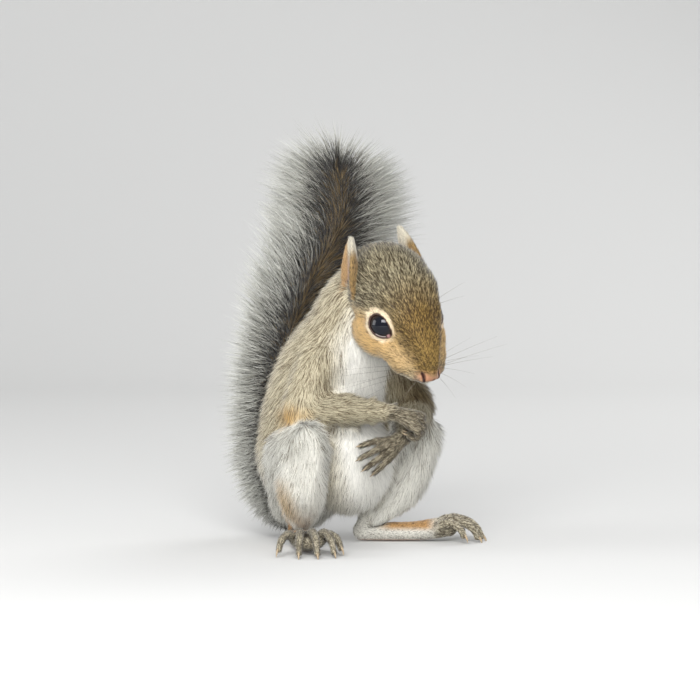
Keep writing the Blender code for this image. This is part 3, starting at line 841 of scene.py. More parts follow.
# shorter and finer towards the nose and round the eyes, longer behind the ears
nose_way = np.clip((head_at[:, 1] + 26) / 34, 0, 1)
on_head = part("head")
behind = np.clip((head_at[:, 1] - 10) / 12, 0, 1)
length[on_head] = (1.0 + 2.0 * nose_way + 0.8 * behind)[on_head]
length[on_head] *= np.clip(0.35 + rim_distance[on_head] / 4.0, 0, 1)
width[on_head] = 0.23 + 0.17 * nose_way[on_head]
lift[on_head] = 13 + 6 * nose_way[on_head]
thick[rim_distance < 0.15] = 0

# shorter down the leg and towards the wrist, so that the foot and the hand show
on_leg = part("shank") | part("thigh") | part("foot")
length[on_leg] *= np.clip((body_at[on_leg, 2] - 2) / 18, 0.42, 1)
length *= np.where(part("forearm"), np.clip(-past_wrist / 12, 0.42, 1), 1)

# --- markings -------------------------------------------------------------------------------------------
# The coat's colours, in regions that melt into each other: grizzled buff grey on the back, white below,
# orange tan on the cheeks and insteps, and pale rings round the eyes. Skin and hairs share them. Some
# regions also carry painted shade: the crown and forehead, the front of the upper arms, the creases between
# digits, deep in the ear hollows and inside the nostrils.


def colour(red, green, blue):
    """A colour from the usual 0 to 255, for a shader."""
    return np.array([(c / 255) ** 2.2 for c in (red, green, blue)])


def patch(points, centre, halves, soft=0.3):
    """1 inside an oval region, 0 outside, melting over its edge."""
    far = np.linalg.norm((points - np.array(centre)) / np.array(halves), axis=1)
    return np.clip((1 + soft - far) / (2 * soft), 0, 1)


BUFF_GREY, ASH, WHITE = colour(208, 198, 170), colour(222, 221, 211), colour(246, 244, 236)
GRIZZLE_AND_PAINTED_SHADE, GOLDEN = colour(186, 176, 144), colour(176, 144, 82)
ORANGE_TAN, CREAM = colour(210, 174, 118), colour(246, 226, 192)
NOSE_PINK, EAR_PINK = colour(182, 132, 102), colour(178, 154, 144)
EAR_TAN, EAR_CREAM = colour(168, 138, 92), colour(216, 208, 188)
BUFF_CREAM, RUST = colour(214, 204, 178), colour(196, 146, 80)
PAD_PINK, HAND_GREY = colour(190, 150, 130), colour(176, 166, 142)
TAIL_TAN = colour(132, 112, 76)

coat_colour = np.zeros_like(body_at)
dark_share = np.zeros(len(body_at))


def lay(where, tone, dark=None):
    """Colours the skin there, and sets how many of its hairs are dark."""
    where = np.asarray(where, float)
    coat_colour[:] = coat_colour * (1 - where)[:, None] + np.array(tone) * where[:, None]
    if dark is not None:
        dark_share[:] = dark_share * (1 - where) + dark * where


def soft_part(name):
    """The part, melting into its neighbours."""
    return spread(part(name), skin_edges, 6)[:, 0]


lay(np.ones(len(body_at)), BUFF_GREY, 0.38)
lay(part("neck") * patch(body_at, (0, -34, 82), (23, 20, 22), 0.3), WHITE, 0.0)
lay(part("trunk") * patch(body_at, (0, -28, 58), (17, 24, 60), 0.25), WHITE, 0.0)
lay(part("trunk") * patch(body_at, (0, 22, 22), (40, 34, 18), 0.4), ASH, 0.2)
lay(part("thigh"), ASH, 0.24)
lay(part("thigh") * patch(body_at, (0, -20, 40), (19, 30, 40), 0.25), WHITE, 0.0)
lay(part("shank"), colour(234, 232, 222), 0.08)
lay(soft_part("forearm"), colour(192, 183, 156), 0.34)
# partly tan fur and partly painted shade: the front of each upper arm, shaded under the chin, is darkened
lay(soft_part("upper_arm") * np.clip((-14 - body_at[:, 1]) / 8, 0, 1), colour(122, 108, 80), 0.5)
lay(patch(body_at, (-29, -3, 57), (9, 9, 5), 0.5) * ~part("tail"), colour(206, 168, 108), 0.2)
lay(part("tail"), TAIL_TAN, 0.0)
lay(np.clip((past_wrist + 5) / 7, 0, 1), HAND_GREY, 0.62)
lay(soft_part("foot"), colour(230, 227, 216), 0.14)
for word, side in SIDES.items():
    foot_at = in_frame(places, foot_places[word])
    here = (sides == side).astype(float)
    instep = np.clip((foot_at[:, 2] - 4.5) / 2, 0, 1) * np.clip((foot_at[:, 1] + 29) / 5, 0, 1)
    instep *= np.clip((-3 - foot_at[:, 1]) / 6, 0, 1)
    lay(here * part("foot") * instep * 0.9, RUST, 0.12)
    lay(here * part("foot") * np.clip((-26 - foot_at[:, 1]) / 4, 0, 1), BUFF_CREAM, 0.55)
    heel = patch(foot_at, (5.5, 1, 14), (4, 6, 15), 0.35)
    lay(here * (part("shank") | part("foot")) * heel, RUST, 0.1)
    outer_leg = patch(body_at * (side, 1, 1), (39, -7, 15), (8, 8, 15), 0.5)
    lay(here * (part("shank") | part("thigh")) * outer_leg, colour(200, 164, 104), 0.3)
    lay(here * part("foot") * np.clip((1.6 - foot_at[:, 2]) / 1.2, 0, 1), PAD_PINK, 0.0)
    ear_at = in_frame(places, ear_places[word])
    inner = (way_in_model((side, 0, 0), ear_places[word]) * skin_normals).sum(1) > 0.0
    on_ear = here * part("ear")
    lay(on_ear, EAR_CREAM, 0.04)
    lay(on_ear * np.clip((18 - ear_at[:, 2]) / 8, 0, 1), EAR_TAN, 0.14)
    front_edge = np.clip((-ear_at[:, 1] - 1.0) / 2, 0, 1) * np.clip((21 - ear_at[:, 2]) / 4, 0, 1)
    lay(on_ear * front_edge, EAR_TAN, 0.2)
    groove = np.clip((ear_at[:, 1] + 0.8) / 0.8, 0, 1) * np.clip((4.8 - ear_at[:, 1]) / 0.8, 0, 1)
    groove *= np.clip((17 - ear_at[:, 2]) / 4, 0, 1)
    lay(on_ear * inner * np.clip((ear_at[:, 1] - 3.6) / 1.2, 0, 1), colour(184, 150, 108), 0.08)
    lay(on_ear * inner * groove, EAR_PINK, 0.1)
    # painted shade deep in the ear's hollow, low down near its root
    lay(on_ear * inner * groove * np.clip((9 - ear_at[:, 2]) / 5, 0, 1), colour(92, 70, 56), 0.0)

# painted shade in the creases between fingers and toes, found from where the skin is hollow
groove_shade = np.clip(((spread(body_at, skin_edges, 6) - body_at) * skin_normals).sum(1) / 0.22, 0, 1)
on_digits = part("hand") | part("foot") & (body_at[:, 2] > 1)
lay(groove_shade * on_digits, colour(58, 50, 40), 0.3)  # between fingers and toes

head_here = part("head").astype(float)
# partly real grizzle and partly painted shade: the crown and forehead, which face up away from the light,
# get a duller tone and a high share of dark hairs
lay(head_here, GRIZZLE_AND_PAINTED_SHADE, 0.70)
lay(head_here * patch(head_at, (0, -13, 1), (14, 18, 14), 0.5), GOLDEN, 0.72)
lay(head_here * patch(head_at, (0, -20, -7), (7, 9, 7), 0.5), GOLDEN, 0.5)
for side in SIDES.values():
    lay(head_here * patch(head_at, (side * 14, 1, -8), (9, 15, 9), 0.35), ORANGE_TAN, 0.07)
    lay(head_here * patch(head_at, (side * 9, -12, -13), (6, 9, 5), 0.6), colour(206, 174, 124), 0.15)
    lay(head_here * patch(head_at, (side * 11, 5, -21), (10, 17, 6.5), 0.35), colour(218, 208, 186), 0.03)
    lay(head_here * patch(head_at, (side * 5.5, -17, -19), (5, 6, 3), 0.4), colour(206, 196, 172), 0.2)
lay(head_here * patch(head_at, (0, -6, -25), (11, 20, 7), 0.3), WHITE, 0.0)
lay(head_here * patch(head_at, (0, -22.5, -11.5), (6, 5, 3.5), 0.4), GOLDEN, 0.6)
leather = head_here * patch(head_at, (0, -22.2, -16.2), (6.0, 4.6, 2.9), 0.3)
lay(leather, NOSE_PINK, 0.03)


def away_from(rows):
    """How far each place on the skin is from a line on the head."""
    line = smooth_path([row[:3] for row in rows], 6)
    return np.min([np.linalg.norm(head_at - spot, axis=1) for spot in line], axis=0)


to_lips = np.minimum(away_from(mouth), away_from(philtrum) + 0.5)
to_nostril = np.minimum(*[away_from(nostril) for nostril in nostrils])
lay(head_here * np.clip((1.2 - to_lips) / 0.5, 0, 1), colour(84, 58, 46), 0.0)
# painted shade: the inside of each nostril's slit is coloured dark
lay(head_here * np.clip((1.0 - to_nostril) / 0.4, 0, 1), colour(58, 32, 26), 0.0)
thick[(leather > 0.5) | (to_lips < 0.9) | (to_nostril < 0.9)] = 0
ring = np.clip(1.0 - np.abs(rim_distance - 0.75) / 1.15, 0, 1) ** 0.6
for side in SIDES.values():  # the pale ring narrows at the front corner
    far, past, way = round_the_eye(head_at, side)
    corner = way_to_rim(side, math.radians(-16))
    ring *= 1 - 0.6 * np.clip((way @ corner - 0.92) / 0.06, 0, 1) * (far < 13)
lay(head_here * np.clip(ring * 1.4, 0, 1), CREAM, 0.0)
lay(head_here * (rim_distance < 0.12), colour(60, 40, 32), 0.0)


def keep_on_skin(name, kind, values):
    """Stores one value for each point of the skin, for its finish and for the hairs."""
    kept = skin.data.attributes.new(name, kind, "POINT")
    values = np.asarray(values, np.float32)
    if kind == "FLOAT_COLOR":
        kept.data.foreach_set("color", np.hstack([values, np.ones((len(values), 1), np.float32)]).ravel())
    elif kind == "FLOAT_VECTOR":
        kept.data.foreach_set("vector", np.ascontiguousarray(values).ravel())
    else:
        kept.data.foreach_set("value", values.ravel())


keep_on_skin("coat_colour", "FLOAT_COLOR", np.clip(coat_colour, 0, 1))
keep_on_skin("dark_share", "FLOAT", dark_share)
keep_on_skin("lie", "FLOAT_VECTOR", lie)
keep_on_skin("rise", "FLOAT_VECTOR", rise)
keep_on_skin("skin_way", "FLOAT_VECTOR", skin_normals)
keep_on_skin("hair_length", "FLOAT", length * MM)
keep_on_skin("hair_width", "FLOAT", width * MM)
keep_on_skin("hair_lift", "FLOAT", np.radians(lift))
keep_on_skin("tile", "FLOAT", labels * 3 + sides + 1)
keep_on_skin("reach_share", "FLOAT", reach_share)


def add(tree, kind, links=(), **settings):
    """A node in the tree. links gives what each input, by its number, is fed with: a value or an output."""
    made = tree.nodes.new(kind)
    for name, value in settings.items():
        setattr(made, name, value)
    for number, value in dict(links).items():
        socket = made.inputs[number]
        if isinstance(value, bpy.types.NodeSocket):
            tree.links.new(value, socket)
        else:
            socket.default_value = value
    return made


def new_finish(name, roughness, specular=0.3, sheen=0.0):
    """A material with its shader's plain settings, and its tree."""
    made = bpy.data.materials.new(name)
    made.use_nodes = True
    shader = made.node_tree.nodes["Principled BSDF"]
    shader.inputs["Roughness"].default_value = roughness
    shader.inputs["Specular IOR Level"].default_value = specular
    shader.inputs["Sheen Weight"].default_value = sheen
    shader.inputs["Sheen Roughness"].default_value = 0.5
    return made, made.node_tree, shader


def kept_value(tree, name, output="Fac"):
    """A value kept on the piece's points, for its finish."""
    return add(tree, "ShaderNodeAttribute", attribute_name=name).outputs[output]


def skin_finish():
    """Skin with a nap of the shortest hairs, in the colours of the coat above it."""
    made, tree, shader = new_finish("skin under fur", 0.75, 0.2, 0.15)
    place = add(tree, "ShaderNodeTexCoord").outputs["Object"]
    mottle = add(tree, "ShaderNodeTexNoise", {0: place, 2: 900.0, 3: 3.0, 4: 0.6})
    grain = add(tree, "ShaderNodeTexNoise", {0: place, 2: 3200.0, 3: 2.0, 4: 0.6})
    tone = kept_value(tree, "coat_colour", "Color")
    amount = add(tree, "ShaderNodeMapRange", {0: mottle.outputs["Fac"], 1: 0.3, 2: 0.7, 3: 0.62, 4: 0.95})
    dark = kept_value(tree, "dark_share")
    left = add(tree, "ShaderNodeMapRange", {0: dark, 1: 0.0, 2: 0.6, 3: 1.0, 4: 0.35}).outputs[0]
    amount = add(tree, "ShaderNodeMath", {0: amount.outputs[0], 1: left}, operation="MULTIPLY").outputs[0]
    shaded = add(tree, "ShaderNodeVectorMath", {0: tone, 3: amount}, operation="SCALE")
    tree.links.new(shaded.outputs[0], shader.inputs["Base Color"])
    bump = add(tree, "ShaderNodeBump", {0: 0.5, 1: 0.0003})
    tree.links.new(grain.outputs["Fac"], bump.inputs["Height"])
    tree.links.new(bump.outputs["Normal"], shader.inputs["Normal"])
    return made


skin.data.materials.clear()
skin.data.materials.append(skin_finish())
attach(skin, "root")
flesh = ["head", "neck", "trunk", "tail_base", "tail_middle", "tail_tip"]
for limb in ("ear", "upper_arm", "forearm", "hand", "thigh", "shank", "foot"):
    flesh += [limb + "_left", limb + "_right"]
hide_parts(*flesh)

# --- eyes -----------------------------------------------------------------------------------------------
# Glossy dark balls that fill the sockets, with a blue-black pupil, a brown iris and a wet clear surface.
# A thin dark rim of bare lid edges each opening, with a moist line along the lower lid whose pale colour is
# partly painted highlight, and a pink corner in front.

RIM_THICK, RIM_OFF = 0.24, 0.28  # the rim's half thickness, and how far its middle is off the eyeball
WET_LINE = (-88, -34)  # the turns it runs between
CORNER_TURN = -20
IRIS_EDGE = 62  # degrees from the middle of the pupil


def banded(tree, where, stops):
    """Colours that follow one another as a number grows, each at its own place."""
    bands = add(tree, "ShaderNodeValToRGB", {0: where})
    ramp = bands.color_ramp
    while len(ramp.elements) < len(stops):
        ramp.elements.new(0.5)
    for element, (spot, tone) in zip(ramp.elements, stops):
        element.position = spot
        element.color = (*tone, 1)
    return bands.outputs[0]


def mottled(tree, shader, grain, first, second):
    """Gives the shader two colours, mixed by a noise of this scale, detail and roughness."""
    place = add(tree, "ShaderNodeTexCoord").outputs["Object"]
    noise = add(tree, "ShaderNodeTexNoise", {0: place, 2: grain[0], 3: grain[1], 4: grain[2]}).outputs["Fac"]
    mixed = add(tree, "ShaderNodeMix", {0: noise, 6: (*first, 1), 7: (*second, 1)}, data_type="RGBA")
    tree.links.new(mixed.outputs[2], shader.inputs["Base Color"])
    return noise


def eye_finish():
    """A wet dark surface, coloured in rings from the pupil to the edge of the iris."""
    made, tree, shader = new_finish("wet dark eye", 0.3, 0.0)
    shader.inputs["Coat Weight"].default_value = 1.0
    shader.inputs["Coat Roughness"].default_value = 0.02
    shader.inputs["Coat IOR"].default_value = 1.42
    place = add(tree, "ShaderNodeTexCoord").outputs["Object"]
    threads = add(tree, "ShaderNodeTexNoise", {0: place, 2: 1400.0, 3: 2.0, 4: 0.6})
    rings = banded(tree, kept_value(tree, "from_pupil"), [
        (0.0, (0.002, 0.003, 0.007)),
        (0.50, (0.003, 0.004, 0.008)),
        (0.60, (0.010, 0.006, 0.005)),
        (0.85, (0.022, 0.012, 0.008)),
        (1.0, (0.006, 0.004, 0.004)),
    ])
    amount = add(tree, "ShaderNodeMapRange", {0: threads.outputs["Fac"], 1: 0.3, 2: 0.7, 3: 0.7, 4: 1.3})
    shaded = add(tree, "ShaderNodeVectorMath", {0: rings, 3: amount.outputs[0]}, operation="SCALE")
    tree.links.new(shaded.outputs[0], shader.inputs["Base Color"])
    return made


def lid_finish(name, tone, roughness):
    """Bare moist skin of the lid."""
    made, tree, shader = new_finish(name, roughness, 0.5)
    mottled(tree, shader, (1800.0, 2.0, 0.5), tone, tone * 0.55)
    return made


def closed_ring(name, points, normals, radius, sides=8):
    """A thin round welt along a closed line of points. normals point away from what it lies on."""
    points, rows = np.array(points), []
    runs = np.roll(points, -1, 0) - np.roll(points, 1, 0)
    runs /= np.linalg.norm(runs, axis=1)[:, None]
    across = np.cross(runs, normals)
    for i in range(sides):
        a = 2 * math.pi * i / sides
        rows.append(points + (normals * math.cos(a) + across * math.sin(a)) * radius)
    count = len(points)
    faces = []
    for i in range(sides):
        for j in range(count):
            k, m = (i + 1) % sides, (j + 1) % count
            faces.append((i * count + j, k * count + j, k * count + m, i * count + m))
    return as_mesh(name, np.vstack(rows), faces, head_place)


def smooth_faces(obj):
    obj.data.polygons.foreach_set("use_smooth", [True] * len(obj.data.polygons))
    return obj


eye_material = eye_finish()
lid_material = lid_finish("bare lid edge", colour(74, 50, 42), 0.35)
# the lower lid's moist line: its pale colour is partly painted highlight
wet_line_and_highlight_material = lid_finish("wet line of the lid, painted highlight", colour(176, 166, 160), 0.15)
corner_material = lid_finish("pink corner of the eye", colour(150, 112, 110), 0.25)
for word, side in SIDES.items():
    centre = np.array(on_side(EYE_AT, side))
    eyeball = smooth_faces(ball("eyeball_" + word, centre, [EYEBALL] * 3, 0, head_place, 64, 40))
    out = in_frame(vertex_rows(eyeball.data), head_place) - centre
    lean = np.arccos(np.clip(out @ eye_axes(side)[0] / np.linalg.norm(out, axis=1), -1, 1))
    kept = eyeball.data.attributes.new("from_pupil", "FLOAT", "POINT")
    kept.data.foreach_set("value", np.clip(lean / math.radians(IRIS_EDGE), 0, 1).astype(np.float32))
    eyeball.data.materials.append(eye_material)
    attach(eyeball, "root")
    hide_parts("eye_" + word)

    ways = rim_ways(side, 96)
    line = centre + ways * (EYEBALL + RIM_OFF)
    rim = smooth_faces(closed_ring("lid_rim_" + word, line, ways, RIM_THICK))
    rim.data.materials.append(lid_material)
    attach(rim, "root")
    low = way_to_rim(side, np.radians(np.linspace(*WET_LINE, 20))[:, None], 2.6)
    stations = [(*(centre + w * (EYEBALL + 0.02)), 0.15, 0.15) for w in low]
    wet = smooth_faces(tube("wet_line_" + word, stations, head_place, (0, 0, 1), sides=8, steps=1))
    wet.data.materials.append(wet_line_and_highlight_material)
    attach(wet, "root")
    spot = centre + way_to_rim(side, math.radians(CORNER_TURN), 5) * (EYEBALL - 0.15)
    corner = smooth_faces(ball("eye_corner_" + word, spot, (0.85, 1.05, 0.8), 30, head_place, 24, 16))
    corner.data.materials.append(corner_material)
    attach(corner, "root")

# --- claws ----------------------------------------------------------------------------------------------
# Small curved hooks of pale brown horn, mottled darker and paler, one to each finger and toe. They grow out
# above the pads and are slightly ridged.

horn = smooth_faces(joined("claws", claws))
rows = vertex_rows(horn.data)
rows[:, 2] = np.maximum(rows[:, 2], 0.05 * MM)  # the toes' claws rest on the floor
put_vertices(horn.data, rows)


def horn_finish():
    """Pale brown horn with fine ridges."""
    made, tree, shader = new_finish("claw horn", 0.35, 0.5)
    streaks = mottled(tree, shader, (1500.0, 3.0, 0.6), colour(120, 98, 74), colour(196, 178, 148))
    bump = add(tree, "ShaderNodeBump", {0: 0.3, 1: 0.0001, 3: streaks})
    tree.links.new(bump.outputs["Normal"], shader.inputs["Normal"])
    return made


horn.data.materials.append(horn_finish())
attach(horn, "root")

# --- coat of the head -----------------------------------------------------------------------------------
# Short close hairs over the face, crown and ears. Each is a thin three-sided spike, laid on the skin by
# its lie, length and lift, and coloured from the skin at its root with a dark or a pale tick.


def strand(name, rings, bow, slender):
    """One hair, a unit long along x. bow is how far it arches, slender its length over its width."""
    corners, spots, faces, patches = [], [], [], []
    for i in range(rings):
        share = i / rings
        thick = 0.5 * (1 - share) ** 0.55 if i else 0.42
        for j in range(3):
            a = 2 * math.pi * j / 3 + math.pi / 2
            arch = bow * slender * 4 * share * (1 - share)
            corners.append((share, math.cos(a) * thick, math.sin(a) * thick + arch))
            spots.append(share)
    corners.append((1.0, 0.0, 0.0))
    spots.append(1.0)
    tip = 3 * rings
    faces.append((2, 1, 0))
    patches.append([(1.0, 0.0), (0.5, 0.0), (0.0, 0.0)])
    for i in range(rings):
        for j in range(3):
            k = (j + 1) % 3
            u, v, low, high = j / 3, (j + 1) / 3, i / rings, (i + 1) / rings
            if i < rings - 1:
                faces.append((3 * i + j, 3 * i + k, 3 * i + 3 + k, 3 * i + 3 + j))
                patches.append([(u, low), (v, low), (v, high), (u, high)])
            else:
                faces.append((3 * i + j, 3 * i + k, tip))
                patches.append([(u, low), (v, low), ((u + v) / 2, 1.0)])
    mesh = bpy.data.meshes.new(name)
    mesh.from_pydata(corners, [], faces)
    kept = mesh.attributes.new("along", "FLOAT", "POINT")
    kept.data.foreach_set("value", spots)
    corners_of_map = [c for face in patches for spot in face for c in spot]
    mesh.uv_layers.new(name="OFBake").data.foreach_set("uv", corners_of_map)
    return smooth_faces(set_out(name, mesh))


COAT_INPUTS = {
    "Skin": "Geometry",
    "Strand": "Object",
    "Hairs per square metre": "Float",
    "Closest hairs": "Float",
    "Stray": "Float",
    "Lock size": "Float",
    "Seed": "Int",
    "Finish": "Material",
}


def coat_tree():
    """Geometry Nodes that lay one strand at each of many places on the skin, as its attributes say."""
    tree = bpy.data.node_groups.new("lay the coat", "GeometryNodeTree")
    for name, kind in COAT_INPUTS.items():
        tree.interface.new_socket(name, in_out="INPUT", socket_type="NodeSocket" + kind)
    tree.interface.new_socket("Coat", in_out="OUTPUT", socket_type="NodeSocketGeometry")
    given = tree.nodes.new("NodeGroupInput").outputs

    def kept(name, kind="FLOAT"):
        return add(tree, "GeometryNodeInputNamedAttribute", {0: name}, data_type=kind).outputs[0]

    def vector(operation, a, b):
        return add(tree, "ShaderNodeVectorMath", {0: a, 1: b}, operation=operation).outputs[0]

    def scaled(a, amount):
        return add(tree, "ShaderNodeVectorMath", {0: a, 3: amount}, operation="SCALE").outputs[0]

    def number(operation, a, b):
        return add(tree, "ShaderNodeMath", {0: a, 1: b}, operation=operation).outputs[0]

    def between(low, high, draw):
        """A random number for each hair, in the draw with that number."""
        seed = number("ADD", given["Seed"], float(draw))
        return add(tree, "FunctionNodeRandomValue", {2: low, 3: high, 8: seed}, data_type="FLOAT").outputs[1]

    def stored(points, name, value, kind):
        links = {0: points, 2: name, 3: value}
        return add(tree, "GeometryNodeStoreNamedAttribute", links, data_type=kind).outputs[0]

    some = number("GREATER_THAN", kept("here"), 0.0)
    ground = add(tree, "GeometryNodeSeparateGeometry", {0: given["Skin"], 1: some}, domain="FACE").outputs[0]
    spacing = {2: given["Closest hairs"], 3: given["Hairs per square metre"], 5: kept("here")}
    roots = add(
        tree,
        "GeometryNodeDistributePointsOnFaces",
        {0: ground, **spacing, 6: given["Seed"]},
        distribute_method="POISSON",
    ).outputs[0]
    where = tree.nodes.new("GeometryNodeInputPosition").outputs[0]
    roots = stored(roots, "root", where, "FLOAT_VECTOR")
    roots = stored(roots, "chance", between(0.0, 1.0, 11), "FLOAT")

    locks = add(tree, "ShaderNodeTexNoise", {0: where, 2: given["Lock size"], 3: 1.0, 4: 0.5}).outputs[1]
    locks = scaled(vector("SUBTRACT", locks, (0.5, 0.5, 0.5)), 2.6)
    every_way = {0: (-1, -1, -1), 1: (1, 1, 1), 8: number("ADD", given["Seed"], 3.0)}
    own = add(tree, "FunctionNodeRandomValue", every_way, data_type="FLOAT_VECTOR").outputs[0]
    strays = scaled(vector("ADD", locks, own), given["Stray"])
    lean = number("MULTIPLY", kept("hair_lift"), between(0.65, 1.35, 5))
    flat_part = scaled(kept("lie", "FLOAT_VECTOR"), number("COSINE", lean, 0.0))
    high_part = scaled(kept("rise", "FLOAT_VECTOR"), number("SINE", lean, 0.0))
    way = vector("ADD", vector("ADD", flat_part, high_part), strays)
    way = add(tree, "ShaderNodeVectorMath", {0: way}, operation="NORMALIZE").outputs[0]
    turned = add(tree, "FunctionNodeAlignRotationToVector", {2: way}, axis="X").outputs[0]
    upright = {0: turned, 2: kept("rise", "FLOAT_VECTOR")}
    turned = add(tree, "FunctionNodeAlignRotationToVector", upright, axis="Z", pivot_axis="X").outputs[0]
    long = number("MULTIPLY", kept("hair_length"), between(0.7, 1.15, 7))
    wide = number("MULTIPLY", kept("hair_width"), between(0.75, 1.25, 8))
    size = add(tree, "ShaderNodeCombineXYZ", {0: long, 1: wide, 2: wide}).outputs[0]
    one = add(tree, "GeometryNodeObjectInfo", {0: given["Strand"], 1: True}).outputs[4]
    coat = add(tree, "GeometryNodeInstanceOnPoints", {0: roots, 2: one, 5: turned, 6: size}).outputs[0]
    coat = add(tree, "GeometryNodeRealizeInstances", {0: coat}).outputs[0]
    coat = add(tree, "GeometryNodeSetMaterial", {0: coat, 2: given["Finish"]}).outputs[0]
    leaving = tree.nodes.new("NodeGroupOutput")
    tree.links.new(coat, leaving.inputs[0])
    return tree


def chart(roots, spine):
    """Where each root lies on the skin unrolled about a spine: its share round it and along it."""
    runs = np.gradient(spine, axis=0)
    runs /= np.linalg.norm(runs, axis=1)[:, None]
    batches = np.array_split(roots, 1 + len(roots) // 4000)
    nearest = np.concatenate([((some[:, None] - spine[None]) ** 2).sum(2).argmin(1) for some in batches])
    off = roots - spine[nearest]
    run = runs[nearest]
    first = np.eye(3)[np.abs(runs.mean(0)).argmin()]
    wide = first - run * (run @ first)[:, None]
    wide /= np.linalg.norm(wide, axis=1)[:, None]
    deep = np.cross(run, wide)
    step = (off * run).sum(1) / np.linalg.norm(np.diff(spine, axis=0), axis=1).mean()
    along = (nearest + step) / (len(spine) - 1)
    turn = np.arctan2((off * deep).sum(1), (off * wide).sum(1)) / (2 * math.pi) + 0.5
    return np.column_stack([turn, along])


HAIR_PATCH, MAP_EDGE = 0.003, 0.004  # of the map's width


def lay_out(mesh, corners_each):
    """Moves each hair's small patch of the OFBake map to its root's place on the unrolled skin."""

    def read(name, count, field="value"):
        values = np.zeros(len(mesh.vertices) * count, np.float32)
        mesh.attributes[name].data.foreach_get(field, values)
        return values.reshape(-1, count)[::corners_each]

    roots = read("root", 3, "vector").astype(float)
    tiles = np.round(read("tile", 1)[:, 0]).astype(int)
    used = list(np.unique(tiles))
    spots = np.zeros((len(roots), 2))
    for k, tile in enumerate(used):
        mine = tiles == tile
        some = roots[mine]
        if tile // 3 == PARTS.index("tail"):
            spine = in_model(tail_centres, animal_place)
        else:
            centre = some.mean(0)
            main = np.linalg.svd(some - centre, full_matrices=False)[2][0] if len(some) > 3 else (0, 0, 1)
            reach = (some - centre) @ main
            spine = centre + np.linspace(reach.min() - 1e-4, reach.max() + 1e-4, 60)[:, None] * main
        spot = chart(some, spine)
        spot[:, 1] = (spot[:, 1] - spot[:, 1].min()) / max(np.ptp(spot[:, 1]), 1e-6)
        spots[mine] = np.column_stack([(k + np.clip(spot[:, 0], 0.01, 0.99)) / len(used), spot[:, 1]])
    spots = MAP_EDGE + spots * (1 - 2 * MAP_EDGE)
    loops = np.zeros(len(mesh.loops), int)
    mesh.loops.foreach_get("vertex_index", loops)
    layer = mesh.uv_layers["OFBake"]
    own = np.zeros(len(mesh.loops) * 2, np.float32)
    layer.data.foreach_get("uv", own)
    placed = spots[loops // corners_each] + (own.reshape(-1, 2) - 0.5) * HAIR_PATCH
    layer.data.foreach_set("uv", placed.astype(np.float32).ravel())


lay_the_coat = coat_tree()
SOCKETS = {item.name: item.identifier for item in lay_the_coat.interface.items_tree}


CLOSEST_SHARE = 0.42  # of the even distance between hairs, the least that two roots keep
LAYING_ONLY = ("root", "tile", "lie", "rise", "skin_way", "hair_length", "hair_width", "hair_lift", "here")


def coat_piece(name, here, hairs_per_mm2, one, finish, stray, lock_mm, seed, soft=0.7):
    """One piece of the coat, over the part of the skin where here is above zero.

    stray is how far hairs and locks lean their own way, and soft how much they take the skin's light.
    """
    ground = set_out(name + " ground", skin.data.copy())
    kept = ground.data.attributes.new("here", "FLOAT", "POINT")
    kept.data.foreach_set("value", (np.asarray(here, float) * thick).astype(np.float32))
    laid = ground.modifiers.new("coat", "NODES")
    laid.node_group = lay_the_coat
    laid[SOCKETS["Strand"]] = one
    laid[SOCKETS["Hairs per square metre"]] = hairs_per_mm2 * 1e6
    laid[SOCKETS["Closest hairs"]] = CLOSEST_SHARE * MM / math.sqrt(hairs_per_mm2)
    laid[SOCKETS["Stray"]] = stray
    laid[SOCKETS["Lock size"]] = 1000.0 / lock_mm
    laid[SOCKETS["Seed"]] = seed
    laid[SOCKETS["Finish"]] = finish
    graph = bpy.context.evaluated_depsgraph_get()
    mesh = bpy.data.meshes.new_from_object(ground.evaluated_get(graph))
    bpy.data.objects.remove(ground)
    made = set_out(name, mesh)
    lay_out(mesh, len(one.data.vertices))
    rows = vertex_rows(mesh)
    rows[:, 2] = np.maximum(rows[:, 2], 0.2 * MM)  # hairs that reach the floor lie on it
    put_vertices(mesh, rows)
    if soft:  # the hairs take the light much as the skin below them would, as fur does
        ways = np.zeros(len(mesh.vertices) * 3, np.float32)
        mesh.attributes["skin_way"].data.foreach_get("vector", ways)
        ways = ways.reshape(-1, 3) * soft + vertex_rows(mesh, "normal") * (1 - soft)
        ways /= np.linalg.norm(ways, axis=1)[:, None]
        mesh.normals_split_custom_set_from_vertices(ways)
    for spare in LAYING_ONLY:
        if spare in mesh.attributes:
            mesh.attributes.remove(mesh.attributes[spare])
    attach(made, "root")


def own_shade(tree, chance, low, high):
    """A shade for each hair, drawn apart from the chance that ticks it."""
    other = add(tree, "ShaderNodeMath", {0: chance, 1: 13.7}, operation="MULTIPLY").outputs[0]
    other = add(tree, "ShaderNodeMath", {0: other}, operation="FRACT").outputs[0]
    return add(tree, "ShaderNodeMapRange", {0: other, 1: 0.0, 2: 1.0, 3: low, 4: high}).outputs[0]


def fur_finish(name, root_shade, sheen, dark_tick):
    """Hair in the coat's colours, darker at the root, with dark ticks and small changes between hairs."""
    made, tree, shader = new_finish(name, 0.6, 0.25, sheen)
    tone = kept_value(tree, "coat_colour", "Color")
    dark = kept_value(tree, "dark_share")
    along = kept_value(tree, "along")
    chance = kept_value(tree, "chance")
    ticked = add(tree, "ShaderNodeMath", {0: dark, 1: chance}, operation="GREATER_THAN").outputs[0]
    vary = own_shade(tree, chance, 0.82, 1.14)
    low = add(tree, "ShaderNodeMapRange", {0: along, 1: 0.0, 2: 0.5, 3: root_shade, 4: 1.0}).outputs[0]
    amount = add(tree, "ShaderNodeMath", {0: vary, 1: low}, operation="MULTIPLY").outputs[0]
    plain = add(tree, "ShaderNodeVectorMath", {0: tone, 3: amount}, operation="SCALE").outputs[0]
    tick = add(tree, "ShaderNodeVectorMath", {0: tone, 1: dark_tick}, operation="MULTIPLY").outputs[0]
    mixed = add(tree, "ShaderNodeMix", {0: ticked, 6: plain, 7: tick}, data_type="RGBA").outputs[2]
    tree.links.new(mixed, shader.inputs["Base Color"])
    return made


